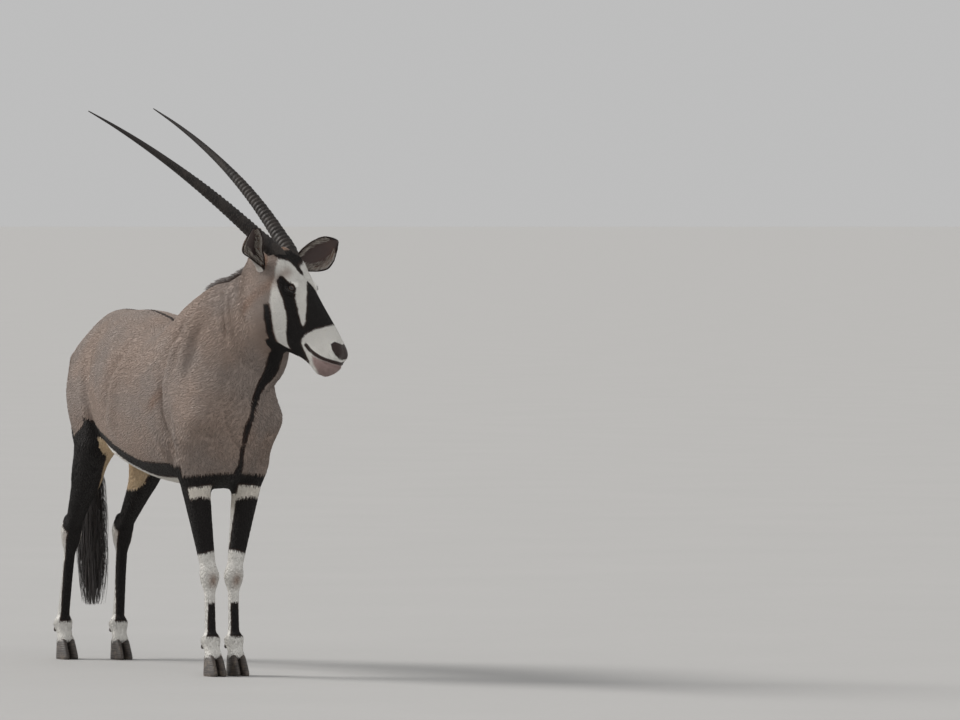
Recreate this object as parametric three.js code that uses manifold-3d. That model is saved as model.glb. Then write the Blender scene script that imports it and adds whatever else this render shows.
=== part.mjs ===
// A life-size gemsbok that stands square and looks to its left.
// Millimetres. The animal faces +X, its left side is +Y, +Z is up and the hooves stand on Z = 0.
// Every part of the flesh is one smooth field, and each sub-part is a skin of rings wrapped onto it.

import * as THREE from "three";
import { mergeVertices } from "three/addons/utils/BufferGeometryUtils.js";
import Module from "manifold-3d";

const wasm = await Module();
wasm.setup();

// Driving dimensions
const WITHERS_Z = 1200;
const CROUP_Z = 1122;
const BACK_Z = 1108;
const BELLY_Z = 592;
const STERNUM_Z = 578;
const CHEST_HALF = 198;
const HIP_HALF = 146;
const BUTTOCK_X = -668;
const CHEST_X = 600;
const HEAD_ORIGIN = new THREE.Vector3(690, 88, 1295);
const HEAD_YAW = 35;
const HEAD_PITCH = -54;
const HEAD_ROLL = -3;
const HORN_LENGTH = 1000;
const HORN_BASE_RADIUS = 26;
const EYE_RADIUS = 21;
const EAR_LENGTH = 195;
const CORONET_Z = 58;
const GAP = 0.3;

// Vectors, frames and curves

const vec = (x, y, z) => new THREE.Vector3(x, y, z);
const radians = (degrees) => (degrees * Math.PI) / 180;
const mix = (a, b, t) => a + (b - a) * t;
const smooth = (t) => {
  const u = Math.min(Math.max(t, 0), 1);
  return u * u * (3 - 2 * u);
};

// The axes of something that points along forward, with up as near as it can be to the hint.
function frameOf(forward, hint) {
  const f = forward.clone().normalize();
  const left = hint.clone().cross(f).normalize();
  return { forward: f, up: f.clone().cross(left).normalize(), left };
}

// The axes of a trunk section: pitch lifts the way forward, yaw turns it left, roll lifts its left side.
function heading(yaw, pitch, roll = 0) {
  const [a, b] = [radians(yaw), radians(pitch)];
  const forward = vec(Math.cos(b) * Math.cos(a), Math.cos(b) * Math.sin(a), Math.sin(b));
  const up = vec(-Math.sin(b) * Math.cos(a), -Math.sin(b) * Math.sin(a), Math.cos(b));
  return frameOf(forward, up.applyAxisAngle(forward, radians(roll)));
}

function place(origin, frame, x, y, z) {
  const moved = origin.clone().addScaledVector(frame.forward, x);
  return moved.addScaledVector(frame.left, y).addScaledVector(frame.up, z);
}

// A smooth curve through rows of [station, value, value, ...], held level past both ends.
function profile(rows) {
  const last = rows.length - 1;
  const slopes = rows.map((row, i) => {
    const a = rows[Math.max(i - 1, 0)];
    const b = rows[Math.min(i + 1, last)];
    return row.map((value, k) => (b[k] - a[k]) / (b[0] - a[0]));
  });
  return (station) => {
    const t = Math.min(Math.max(station, rows[0][0]), rows[last][0]);
    let i = 0;
    while (i < last - 1 && t > rows[i + 1][0]) i++;
    const span = rows[i + 1][0] - rows[i][0];
    const u = (t - rows[i][0]) / span;
    const [h1, h2] = [u * u * (3 - 2 * u), u * (1 - u)];
    return rows[i].slice(1).map((value, k) => {
      const rise = (1 - u) * slopes[i][k + 1] - u * slopes[i + 1][k + 1];
      return mix(value, rows[i + 1][k + 1], h1) + h2 * span * rise;
    });
  };
}

// Fields: each takes a point and returns its distance outside the surface, negative inside

// A tube on a straight axis with rounded ends, flatter where the bulge is large.
// Rows are [station, reach above, reach below, half width, squareness].
function tube(origin, frame, rows, bulge = 1) {
  const shape = profile(rows);
  const [first, final] = [rows[0][0], rows[rows.length - 1][0]];
  return (p) => {
    const v = p.clone().sub(origin);
    const t = v.dot(frame.forward);
    const [h, s] = [v.dot(frame.up) || 1e-6, v.dot(frame.left)];
    const [above, below, half, power = 2] = shape(t);
    const r = Math.hypot(h, s);
    const sum = Math.abs(h / r / (h > 0 ? above : below)) ** power + Math.abs(s / r / half) ** power;
    const past = Math.max(first - t, t - final, 0) * bulge;
    return Math.hypot(r, past) - sum ** (-1 / power);
  };
}

// An ellipsoid with its reach along forward, left and up.
function ball(origin, frame, reach) {
  return (p) => {
    const v = p.clone().sub(origin);
    const q = vec(v.dot(frame.forward), v.dot(frame.left), v.dot(frame.up));
    const a = Math.hypot(q.x / reach[0], q.y / reach[1], q.z / reach[2]);
    const b = Math.hypot(q.x / reach[0] ** 2, q.y / reach[1] ** 2, q.z / reach[2] ** 2);
    return b < 1e-9 ? -Math.min(...reach) : (a * (a - 1)) / b;
  };
}

function softMin(a, b, k) {
  const h = Math.max(k - Math.abs(a - b), 0) / k;
  return Math.min(a, b) - (h * h * k) / 4;
}

const blend = (k, ...fields) => (p) => fields.map((f) => f(p)).reduce((a, b) => softMin(a, b, k));

// A limb bone by bone: rows of [share of the bone, reach in front, reach behind, half width].
function bone(from, to, rows, bulge = 1) {
  const length = from.distanceTo(to);
  const frame = frameOf(to.clone().sub(from), vec(1, 0, 0));
  return tube(from, frame, rows.map(([share, ...reach]) => [share * length, ...reach]), bulge);
}

// Skins

// A solid from vertices and triangles, turned inside out where its faces point inwards.
function solidFrom(points, triangles) {
  const vertProperties = new Float32Array(points.flat());
  const build = (faces) => {
    const triVerts = new Uint32Array(faces.flat());
    return new wasm.Manifold(new wasm.Mesh({ numProp: 3, vertProperties, triVerts }));
  };
  const made = build(triangles);
  return made.volume() > 0 ? made : build(triangles.map(([a, b, c]) => [a, c, b]));
}

// Rings of points, each joined to the next, with a point at the middle of both end rings.
function skinOf(rings, startPole, endPole) {
  const sides = rings[0].length;
  const points = rings.flat().map((p) => [p.x, p.y, p.z]);
  const middle = (ring) => ring.reduce((sum, p) => sum.add(p), vec(0, 0, 0)).divideScalar(sides);
  const ends = [startPole || middle(rings[0]), endPole || middle(rings[rings.length - 1])];
  ends.forEach((p) => points.push([p.x, p.y, p.z]));
  const triangles = [];
  const last = (rings.length - 1) * sides;
  for (let k = 0; k < sides; k++) {
    const next = (k + 1) % sides;
    triangles.push([points.length - 2, next, k], [points.length - 1, last + k, last + next]);
    for (let i = 0; i < last; i += sides) {
      triangles.push([i + k, i + next, i + sides + next], [i + k, i + sides + next, i + sides + k]);
    }
  }
  return solidFrom(points, triangles);
}

// Where a ray from inside first leaves the field.
function exitOf(field, origin, direction, reach, level) {
  const STEP = 8;
  let [inside, outside] = [0, reach];
  for (let r = STEP; r < reach; r += STEP) {
    if (field(origin.clone().addScaledVector(direction, r)) > level) {
      outside = r;
      break;
    }
    inside = r;
  }
  if (inside + STEP >= reach) return reach;
  for (let i = 0; i < 14; i++) {
    const r = (inside + outside) / 2;
    if (field(origin.clone().addScaledVector(direction, r)) > level) outside = r;
    else inside = r;
  }
  return (inside + outside) / 2;
}

// Wraps rings onto a field. A station is { centre, frame, reach }, and level grows the skin.
function wrap(stations, sides, field, { level = 0, poles = [false, false] } = {}) {
  const rings = stations.map(({ centre, frame, reach = 600 }) =>
    Array.from({ length: sides }, (_, k) => {
      const angle = (2 * Math.PI * k) / sides;
      const way = place(vec(0, 0, 0), frame, 0, Math.sin(angle), Math.cos(angle));
      return centre.clone().addScaledVector(way, exitOf(field, centre, way, reach, level));
    }),
  );
  const pole = ({ centre, frame }, sign) => {
    const way = frame.forward.clone().multiplyScalar(sign);
    return centre.clone().addScaledVector(way, exitOf(field, centre, way, 200, level));
  };
  return skinOf(rings, poles[0] && pole(stations[0], -1), poles[1] && pole(stations[stations.length - 1], 1));
}

// A geometry of three.js as a solid, moved by a matrix.
function solidOf(geometry, matrix = new THREE.Matrix4()) {
  const bare = geometry.clone().applyMatrix4(matrix);
  bare.deleteAttribute("normal");
  bare.deleteAttribute("uv");
  const merged = mergeVertices(bare, 1e-3);
  const { array } = merged.attributes.position;
  const points = Array.from({ length: array.length / 3 }, (_, i) => [...array.slice(3 * i, 3 * i + 3)]);
  const { array: index } = merged.index;
  const faces = Array.from({ length: index.length / 3 }, (_, i) => [...index.slice(3 * i, 3 * i + 3)]);
  return solidFrom(points, faces.filter(([a, b, c]) => a !== b && b !== c && c !== a));
}

// A box whose top face lies on a plane through a point, to cut with.
function slab(centre, frame, length, width, depth) {
  const basis = new THREE.Matrix4().makeBasis(frame.forward, frame.left, frame.up);
  basis.setPosition(centre.clone().addScaledVector(frame.up, -depth / 2));
  return solidOf(new THREE.BoxGeometry(length, width, depth), basis);
}

// The largest closed body of a solid.
const largest = (solid) => solid.decompose().reduce((a, b) => (a.volume() > b.volume() ? a : b));

const CUBE_CORNERS = [0, 1, 2, 3, 4, 5, 6, 7].map((n) => [n & 1, (n >> 1) & 1, n >> 2]);
const isStepUp = (a, b) => b.every((v, i) => v >= a[i]) && b.reduce((sum, v, i) => sum + v - a[i], 0) === 1;
const CUBE_EDGES = CUBE_CORNERS.flatMap((a) => CUBE_CORNERS.filter((b) => isStepUp(a, b)).map((b) => [a, b]));

// A skin of near-square cells over a field. Each span is [from, to, cell] along forward, left and up.
function net(field, origin, frame, spans) {
  const counts = spans.map(([from, to, cell]) => Math.round((to - from) / cell));
  const at = (i, j, k) =>
    place(origin, frame, ...[i, j, k].map((n, axis) => spans[axis][0] + n * spans[axis][2]));
  const [nx, ny, nz] = counts.map((count) => count + 1);
  const key = (i, j, k) => (i * ny + j) * nz + k;
  const values = new Float64Array(nx * ny * nz);
  const cellSize = Math.min(...spans.map((span) => span[2]));
  for (let i = 0; i < nx; i++) {
    for (let j = 0; j < ny; j++) {
      for (let k = 0; k < nz; k++) {
        const onEdge = [i, j, k].some((n, axis) => n === 0 || n === counts[axis]);
        values[key(i, j, k)] = onEdge ? cellSize : field(at(i, j, k)) || 1e-6;
      }
    }
  }
  const points = [];
  const cells = new Map();
  const pointOf = (i, j, k) => {
    const id = key(i, j, k);
    if (!cells.has(id)) {
      const sum = vec(0, 0, 0);
      let crossings = 0;
      for (const [a, b] of CUBE_EDGES) {
        const [va, vb] = [a, b].map(([x, y, z]) => values[key(i + x, j + y, k + z)]);
        if (va < 0 === vb < 0) continue;
        sum.add(at(...[i, j, k].map((n, axis) => n + mix(a[axis], b[axis], va / (va - vb)))));
        crossings++;
      }
      cells.set(id, points.push(settle(field, sum.divideScalar(crossings), cellSize / 3)) - 1);
    }
    return cells.get(id);
  };
  const triangles = [];
  const step = [[1, 0, 0], [0, 1, 0], [0, 0, 1]];
  for (let i = 0; i < nx - 1; i++) {
    for (let j = 0; j < ny - 1; j++) {
      for (let k = 0; k < nz - 1; k++) {
        step.forEach(([x, y, z], axis) => {
          const inside = values[key(i, j, k)] < 0;
          if (inside === values[key(i + x, j + y, k + z)] < 0) return;
          const [u, v] = [step[(axis + 1) % 3], step[(axis + 2) % 3]];
          const corner = (a, b) =>
            pointOf(i - a * u[0] - b * v[0], j - a * u[1] - b * v[1], k - a * u[2] - b * v[2]);
          const quad = [corner(0, 0), corner(1, 0), corner(1, 1), corner(0, 1)];
          if (!inside) quad.reverse();
          const [p, q, r, t] = quad.map((n) => points[n]);
          if (p.distanceTo(r) < q.distanceTo(t)) {
            triangles.push([quad[0], quad[1], quad[2]], [quad[0], quad[2], quad[3]]);
          } else triangles.push([quad[1], quad[2], quad[3]], [quad[1], quad[3], quad[0]]);
        });
      }
    }
  }
  return solidFrom(points.map((p) => [p.x, p.y, p.z]), triangles);
}

// Moves a point onto the surface of a field, no further than a limit.
function settle(field, point, limit) {
  const found = point.clone();
  for (let i = 0; i < 3; i++) {
    const value = field(found);
    const slope = vec(
      field(vec(found.x + 1, found.y, found.z)) - value,
      field(vec(found.x, found.y + 1, found.z)) - value,
      field(vec(found.x, found.y, found.z + 1)) - value,
    );
    found.addScaledVector(slope, -value / Math.max(slope.lengthSq(), 0.1));
  }
  const moved = found.clone().sub(point);
  return point.clone().addScaledVector(moved, Math.min(1, limit / Math.max(moved.length(), 1e-6)));
}

// Trunk

const BODY = { forward: vec(1, 0, 0), left: vec(0, 1, 0), up: vec(0, 0, 1) };
const WAIST_Z = 868;

// Rows of [x, top, bottom, half width, squareness].
const torsoRows = [
  [BUTTOCK_X + 14, 958, 850, 48, 2],
  [BUTTOCK_X + 30, 984, 805, 72, 1.9],
  [-590, 1038, 752, 109, 1.7],
  [-500, CROUP_Z - 16, 716, HIP_HALF - 4, 1.65],
  [-400, CROUP_Z + 2, 690, HIP_HALF + 10, 1.8],
  [-290, BACK_Z + 14, 660, HIP_HALF + 25, 1.95],
  [-160, BACK_Z + 14, 624, CHEST_HALF - 6, 2.15],
  [-20, BACK_Z - 6, BELLY_Z + 6, CHEST_HALF, 2.15],
  [110, BACK_Z - 32, BELLY_Z - 6, CHEST_HALF - 4, 2.1],
  [230, WITHERS_Z - 72, STERNUM_Z + 4, CHEST_HALF - 22, 2],
  [330, WITHERS_Z - 26, STERNUM_Z, CHEST_HALF - 42, 1.9],
  [420, WITHERS_Z - 24, STERNUM_Z + 4, CHEST_HALF - 55, 1.9],
  [500, WITHERS_Z - 116, STERNUM_Z + 30, CHEST_HALF - 79, 2],
  [560, WITHERS_Z - 208, STERNUM_Z + 84, CHEST_HALF - 112, 2],
  [CHEST_X - 16, WITHERS_Z - 270, STERNUM_Z + 130, CHEST_HALF - 135, 2],
];
const torsoField = tube(
  vec(0, 0, WAIST_Z),
  BODY,
  torsoRows.map(([x, top, bottom, half, power]) => [x, top - WAIST_Z, WAIST_Z - bottom, half, power]),
  4,
);

// Neck, from inside the chest to the back of the skull.
const neckStart = vec(390, 0, 975);
const neckEnd = vec(656, 84, 1176);
const neckAxis = frameOf(neckEnd.clone().sub(neckStart), vec(-1, 0, 1));
const neckField = tube(neckStart, neckAxis, [
  [0, 186, 194, 120, 2],
  [110, 187, 162, 105, 2],
  [210, 167, 142, 93, 2],
  [300, 136, 138, 87, 2],
  [350, 106, 116, 73, 2],
], 2);

// Head, in its own frame: forward to the nose, up out of the forehead.
const HEAD = heading(HEAD_YAW, HEAD_PITCH, HEAD_ROLL);
const HEAD_AXIS_DROP = 62;
const onHead = (x, y, z) => place(HEAD_ORIGIN, HEAD, x, y, z);
const skull = tube(onHead(0, 0, -HEAD_AXIS_DROP), HEAD, [
  [-58, 20, 40, 34, 2],
  [-36, 46, 76, 54, 2.1],
  [0, 68, 104, 64, 2.1],
  [50, 82, 112, 68, 2.2],
  [100, 86, 114, 69, 2.2],
  [150, 87, 118, 64, 2.2],
  [200, 85, 106, 54, 2.3],
  [250, 84, 86, 46, 2.4],
  [300, 82, 57, 43, 2.4],
  [340, 76, 43, 44, 2.4],
  [368, 62, 40, 39, 2.2],
  [381, 40, 28, 29, 2],
], 3);
const EYE_X = 112;
const bothSides = (make) => [make(-1), make(1)];
const brows = bothSides((side) => ball(onHead(EYE_X - 8, side * 50, 2), HEAD, [36, 18, 16]));
const cheeks = bothSides((side) => ball(onHead(100, side * 48, -98), HEAD, [76, 26, 66]));
const nostrilFlares = bothSides((side) => ball(onHead(352, side * 25, -16), HEAD, [24, 15, 16]));
const lips = bothSides((side) => ball(onHead(338, side * 24, -60), HEAD, [46, 22, 21]));
const chin = ball(onHead(349, 0, -77), HEAD, [31, 23, 12]);
const temples = bothSides((side) => ball(onHead(42, side * 48, -4), HEAD, [42, 27, 25]));
const pedicles = bothSides((side) => ball(onHead(8, side * 33, -4), HEAD, [44, 32, 27]));
const headField = blend(26, skull, ...brows, ...cheeks, ...nostrilFlares, ...lips, chin, ...temples, ...pedicles);

// Legs

// Joints of a foreleg, with the side that it is on as -1 or 1.
const foreJoints = (side) => ({
  side,
  blade: vec(292, side * 88, 1056),
  point: vec(500, side * 100, 796),
  elbow: vec(392, side * 96 + 4, 655),
  knee: vec(428, side * 40 - 9, 306),
  fetlock: vec(424, side * 39 - 5, 112),
  coronet: vec(442, side * 38 - 4, CORONET_Z),
});
const foreBones = (j) => [
  bone(j.blade, j.point, [[0.1, 56, 66, 33], [0.5, 76, 88, 50], [1, 60, 74, 50]]),
  bone(j.point, j.elbow, [[0, 60, 56, 50], [1, 58, 58, 48]]),
  bone(j.elbow, j.knee, [
    [0, 58, 62, 46], [0.25, 47, 48, 41], [0.6, 32, 34, 31], [0.86, 24, 26, 24], [1, 22, 21, 20],
  ]),
  bone(j.knee, j.fetlock, [
    [0, 23, 21, 21], [0.14, 20, 21, 19], [0.3, 17, 20, 16], [0.8, 17, 20, 16], [1, 20, 24, 20],
  ]),
  bone(j.fetlock, j.coronet, [[0, 20, 24, 21], [0.45, 19, 21, 21], [1, 25, 25, 27]], 2),
];

const hindJoints = (side) => ({
  side,
  hip: vec(-470, side * 70, 960),
  pin: vec(-600, side * 60, 955),
  stifle: vec(-384, side * 106 + 2, 690),
  hock: vec(-606, side * 88 - 12, 412),
  fetlock: side > 0 ? vec(-592, 55, 116) : vec(-688, -98, 116),
  coronet: side > 0 ? vec(-572, 53, CORONET_Z) : vec(-666, -97, CORONET_Z),
});
const hindBones = (j) => [
  bone(j.hip, j.stifle, [[0, 90, 98, 62], [0.5, 106, 112, 74], [1, 58, 76, 50]]),
  bone(
    j.pin,
    vec(mix(j.stifle.x, j.hock.x, 0.45), j.stifle.y - j.side * 8, 600),
    [[0, 52, 34, 42], [0.6, 68, 43, 46], [1, 52, 34, 34]],
  ),
  bone(j.stifle, j.hock, [
    [0, 60, 80, 50], [0.35, 54, 62, 43], [0.65, 37, 44, 32], [0.88, 27, 35, 24], [1, 26, 27, 22],
  ]),
  bone(j.hock, j.fetlock, [
    [0, 26, 29, 22], [0.12, 23, 25, 21], [0.28, 18, 21, 17], [0.8, 18, 20, 17], [1, 20, 24, 20],
  ]),
  bone(j.fetlock, j.coronet, [[0, 21, 24, 21], [0.45, 19, 21, 21], [1, 25, 25, 27]], 2),
];
// The point of the hock juts up and back behind the joint.
const heel = (j) =>
  bone(place(j.hock, BODY, -22, 0, 40), place(j.hock, BODY, -8, 0, -30), [[0, 14, 11, 12], [1, 18, 18, 16]]);

const foreLegs = bothSides(foreJoints);
const hindLegs = bothSides(hindJoints);
const LEG_BLEND = 34;
const bonesOf = (j) => (j.knee ? foreBones(j) : [...hindBones(j), heel(j)]);
const legField = (j) => blend(LEG_BLEND, ...bonesOf(j));
const legFields = new Map([...foreLegs, ...hindLegs].map((j) => [j, legField(j)]));

const throatField = ball(vec(575, 92, 985), BODY, [60, 46, 70]);
const trunkField = blend(78, torsoField, neckField, throatField);
const bodyField = blend(46, blend(60, trunkField, headField), ...legFields.values());

// Where the sub-parts are parted
const FORE_CUT_Z = 558;
const HIND_CUT_Z = 612;
const HIND_CUT_FRONT_X = -300;
const neckBase = { centre: vec(486, 10, 1016), frame: heading(8, 33) };
const headBase = { centre: vec(636, 60, 1178), frame: heading(22, 2) };

// Half of all space as a box: what lies ahead of a plane, from a small step ahead of it.
function ahead({ centre, frame }, step) {
  const { forward, up, left } = frame;
  const DEPTH = 3000;
  const turned = { forward: up, left, up: forward.clone().negate() };
  return slab(place(centre, frame, step, 0, 0), turned, DEPTH, DEPTH, DEPTH);
}
function trunk() {
  const fore = slab(vec(HIND_CUT_FRONT_X + 500, 0, FORE_CUT_Z), BODY, 1000, 900, 700);
  const hind = slab(vec(HIND_CUT_FRONT_X - 300, 0, HIND_CUT_Z), BODY, 600, 900, 700);
  const spans = [[-720, 752, 46], [-252, 252, 36], [508, 1336, 36]];
  return net(bodyField, vec(0, 0, 0), BODY, spans).subtract(fore).subtract(hind);
}
function headSkin() {
  const inFront = (p) => p.clone().sub(headBase.centre).dot(headBase.frame.forward);
  const field = (p) => Math.max(bodyField(p), -40 - inFront(p));
  const spans = [[-172, 440, 17], [-170, 170, 17], [-391, 68, 17]];
  return net(field, HEAD_ORIGIN, HEAD, spans).intersect(ahead(headBase, GAP));
}

const LEG_SIDES = 12;
// Stations down a leg through its joints, level at the top and at the coronet.
function legStations(joints, top) {
  const route = new THREE.CatmullRomCurve3(joints, false, "centripetal");
  const COUNT = 20;
  const found = [];
  for (let i = 0; i <= COUNT; i++) {
    const t = i / COUNT;
    const centre = route.getPointAt(t);
    const tangent = route.getTangentAt(t);
    const level = Math.max(1 - t * 8, t * 12 - 11, 0);
    tangent.lerp(vec(0, 0, -1), Math.min(level, 1));
    found.push({ centre, frame: frameOf(tangent, vec(1, 0, 0)), reach: 150 });
  }
  found[0].centre.z = top - GAP;
  return found;
}
function leg(j) {
  const fore = Boolean(j.knee);
  const cut = fore ? FORE_CUT_Z : HIND_CUT_Z;
  const top = fore
    ? vec(mix(j.elbow.x, j.knee.x, 0.28), mix(j.elbow.y, j.knee.y, 0.28), cut - GAP)
    : vec(mix(j.stifle.x, j.hock.x, 0.33) + 10, mix(j.stifle.y, j.hock.y, 0.3), cut - GAP);
  const middle = fore ? j.knee : place(j.hock, BODY, -2, 0, 10);
  return wrap(legStations([top, middle, j.fetlock, j.coronet], cut), LEG_SIDES, legFields.get(j));
}

// Claws, two to a foot, and dewclaws behind each fetlock

const CLAW_LENGTH = 86;
const CLAW_HALF = 17;
const CLEFT_HALF = 2.5;

// One claw from the sole up to the coronet, pointed at the toe and flat along the cleft.
function claw(coronet, side) {
  const SIDES = 12;
  const LEVELS = [[0, 1, 1], [0.16, 1, 1.02], [0.6, 0.82, 0.92], [1, 0.62, 0.8]];
  const rings = LEVELS.map(([share, long, wide]) =>
    Array.from({ length: SIDES }, (_, k) => {
      const angle = (2 * Math.PI * k) / SIDES;
      const along = Math.cos(angle) * CLAW_LENGTH * 0.5 * long;
      const across = Math.sin(angle) * CLAW_HALF * wide * (1 - 0.3 * Math.cos(angle));
      const flat = Math.max(across, -CLAW_HALF * 0.62);
      const middle = CLEFT_HALF + CLAW_HALF * 0.62 + Math.max(along, 0) * 0.05;
      const heelX = coronet.x - 27 + (CLAW_LENGTH * long) / 2 + share * 4;
      return vec(heelX + along, coronet.y + side * (middle + flat), share * (CORONET_Z - GAP));
    }),
  );
  return skinOf(rings);
}
function dewclaw(j, side, grow = 0) {
  const root = place(j.fetlock, BODY, -16, side * 11, -8);
  const tip = place(root, BODY, -17, side * 4, -22);
  const frame = frameOf(tip.clone().sub(root), vec(-1, 0, 0));
  const rings = [[0, 8.5], [0.55, 8], [1, 3]].map(([share, radius]) =>
    Array.from({ length: 6 }, (_, k) => {
      const angle = (2 * Math.PI * k) / 6;
      const centre = root.clone().lerp(tip, share);
      const [across, out] = [radius + grow, radius * 0.75 + grow];
      return place(centre, frame, 0, across * Math.sin(angle), out * Math.cos(angle));
    }),
  );
  return skinOf(rings, place(root, frame, -grow, 0, 0));
}

// Rings of a swept part: a curve, a frame hint and a shape that gives [half width, half depth] by share.
function sweepRings(curve, hint, count, sides, shape, grow = 0) {
  return Array.from({ length: count + 1 }, (_, i) => {
    const t = i / count;
    const centre = curve.getPointAt(t);
    const frame = frameOf(curve.getTangentAt(t), hint);
    const [width, depth] = shape(t, i);
    return Array.from({ length: sides }, (_, k) => {
      const angle = (2 * Math.PI * k) / sides;
      return place(centre, frame, 0, (width + grow) * Math.sin(angle), (depth + grow) * Math.cos(angle));
    });
  });
}

// Horns: long and almost straight, ringed over the lower part

const HORN_SPREAD = 41;
const HORN_BOW = 34;
const HORN_SPLAY = 24;
const HORN_RINGS = 17;
const RINGED_SHARE = 0.62;
// From base to tip in the frame of the head: right, then left.
const HORN_WAYS = [[-0.7, -0.165, -0.214], [-0.72, 0.146, -0.2]];
const wayOnHead = (ways, side) => place(vec(0, 0, 0), HEAD, ...ways[side > 0 ? 1 : 0]);
function hornCurve(side) {
  const base = onHead(2, side * HORN_SPREAD, 4);
  const along = wayOnHead(HORN_WAYS, side).multiplyScalar(HORN_LENGTH);
  const bow = frameOf(along, HEAD.up).up.multiplyScalar(HORN_BOW);
  bow.addScaledVector(HEAD.left, side * HORN_SPLAY);
  const knots = [0, 0.25, 0.5, 0.75, 1].map((t) =>
    base.clone().addScaledVector(along, t).addScaledVector(bow, 4 * t * (1 - t)),
  );
  const seat = onHead(26, side * (HORN_SPREAD - 5), -24);
  return new THREE.CatmullRomCurve3([seat, ...knots], false, "centripetal");
}
const hornRadius = (t) => mix(HORN_BASE_RADIUS, 2.4, Math.max(t, 0) ** 1.12);
const hornRing = (curve, t, radius) => {
  const frame = frameOf(curve.getTangentAt(t), HEAD.up);
  return Array.from({ length: 10 }, (_, k) => {
    const angle = (2 * Math.PI * k) / 10;
    return place(curve.getPointAt(t), frame, 0, radius * 0.94 * Math.sin(angle), radius * Math.cos(angle));
  });
};
const HORN_SEATED = 0.075;
const HORN_RIDGE = 2;
function horn(side) {
  const curve = hornCurve(side);
  const stations = [0, 0.025, 0.05, HORN_SEATED];
  const pitch = (RINGED_SHARE - HORN_SEATED) / HORN_RINGS;
  for (let i = 0; i < HORN_RINGS; i++) {
    stations.push(HORN_SEATED + pitch * (i + 0.55), HORN_SEATED + pitch * (i + 1));
  }
  for (let i = 1; i <= 6; i++) stations.push(mix(RINGED_SHARE, 1, i / 6));
  const rings = stations.map((t, i) => {
    const ridge = i > 3 && i % 2 === 0 && t < RINGED_SHARE ? mix(HORN_RIDGE, 1, t / RINGED_SHARE) : 0;
    return hornRing(curve, t, hornRadius(t) + ridge);
  });
  return skinOf(rings, null, curve.getPointAt(1).addScaledVector(curve.getTangentAt(1), 4));
}
// What the head gives up for the root of a horn, wider where the rings begin.
function hornSocket(side) {
  const curve = hornCurve(side);
  const rings = [0, 0.025, 0.05, HORN_SEATED, 0.09, 0.15, 0.2].map((t) =>
    hornRing(curve, t, hornRadius(t) + (t > HORN_SEATED ? HORN_RIDGE + 0.2 : GAP)),
  );
  return skinOf(rings, curve.getPointAt(0).addScaledVector(curve.getTangentAt(0), -GAP));
}

// Eyes, with the lids as a shell round each that an almond opening parts

const eyeCentre = (side) => onHead(EYE_X + 4, side * 47, -6);
function eyeSphere(side, radius, around, down) {
  const basis = new THREE.Matrix4().makeBasis(HEAD.forward, HEAD.up, HEAD.left);
  return solidOf(new THREE.SphereGeometry(radius, around, down), basis.setPosition(eyeCentre(side)));
}
const eyeball = (side, grow = 0) => eyeSphere(side, EYE_RADIUS + grow, 14, 9);
const lids = (side) => eyeSphere(side, EYE_RADIUS + 4, 10, 8);
function eyeOpening(side) {
  const out = place(vec(0, 0, 0), HEAD, 0, side, 0.2);
  const frame = frameOf(out, HEAD.forward.clone().addScaledVector(HEAD.up, 0.4));
  const basis = new THREE.Matrix4().makeBasis(frame.up, frame.left, frame.forward);
  const centre = eyeCentre(side).addScaledVector(frame.forward, EYE_RADIUS + 6);
  return solidOf(new THREE.SphereGeometry(1, 12, 6).scale(20, 14, 17), basis.setPosition(centre));
}

// Nostrils and mouth

function nostril(side) {
  const centre = onHead(360, side * 30, -18);
  const out = place(vec(0, 0, 0), HEAD, 0.55, side, 0.1);
  const frame = frameOf(out, HEAD.forward);
  const basis = new THREE.Matrix4().makeBasis(frame.up, frame.left, frame.forward).setPosition(centre);
  return solidOf(new THREE.SphereGeometry(1, 8, 6).scale(17, 7.5, 13), basis);
}
// A thin slot from one corner of the mouth round the lips to the other.
function mouth() {
  const LIP_LINE = [[276, -73], [298, -71], [320, -67], [342, -60], [364, -50], [384, -38], [410, -22]];
  const HALF = 1.4;
  const MOUTH_DEPTH = 9;
  const sides = [-90, 90].map((y) => [
    ...LIP_LINE.map(([x, z]) => onHead(x, y, z + HALF)),
    ...LIP_LINE.map(([x, z]) => onHead(x, y, z - HALF)).reverse(),
  ]);
  const slot = skinOf(sides);
  const inner = skinOf([[262, 30], [330, 27], [374 - MOUTH_DEPTH, 18]].map(([x, half]) =>
    Array.from({ length: 12 }, (_, k) => {
      const angle = (2 * Math.PI * k) / 12;
      return onHead(x, half * Math.sin(angle), -56 + 40 * Math.cos(angle));
    }),
  ));
  return slot.subtract(inner);
}

// Ears: a leaf with its inside hollowed out

const earRoot = (side) => onHead(side > 0 ? 20 : 2, side * 68, -52);
// The way each ear points and the way its cup faces, in the frame of the head: right, then left.
const EAR_WAYS = [[-0.3, -0.768, 0.565], [-0.07, 0.615, 0.785]];
const EAR_FACES = [[0.8, -0.1, 0.45], [0.5, -0.35, 0.75]];
// The outer margin of an ear bulges more than the inner one, most of all near the tip.
const EAR_SKEW = 0.22;
const earSkew = (t) => EAR_SKEW * Math.exp(-(((t - 0.74) / 0.24) ** 2));
const EAR_BREADTH = [0.84, 1];
const EAR_WALL = 3;
function earCurve(side, step = 0) {
  const root = earRoot(side);
  const along = wayOnHead(EAR_WAYS, side).setLength(EAR_LENGTH);
  const start = root.clone().addScaledVector(along.clone().normalize(), -14 - step);
  return new THREE.CatmullRomCurve3([start, root, root.clone().add(along)]);
}
const earWidth = profile([
  [0, 13], [0.15, 15], [0.32, 24], [0.5, 41], [0.66, 50], [0.8, 45], [0.92, 27], [1, 3],
]);
const earDepth = profile([[0, 13], [0.16, 16], [0.34, 24], [0.56, 23], [0.76, 16], [0.91, 8], [1, 2]]);
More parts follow.
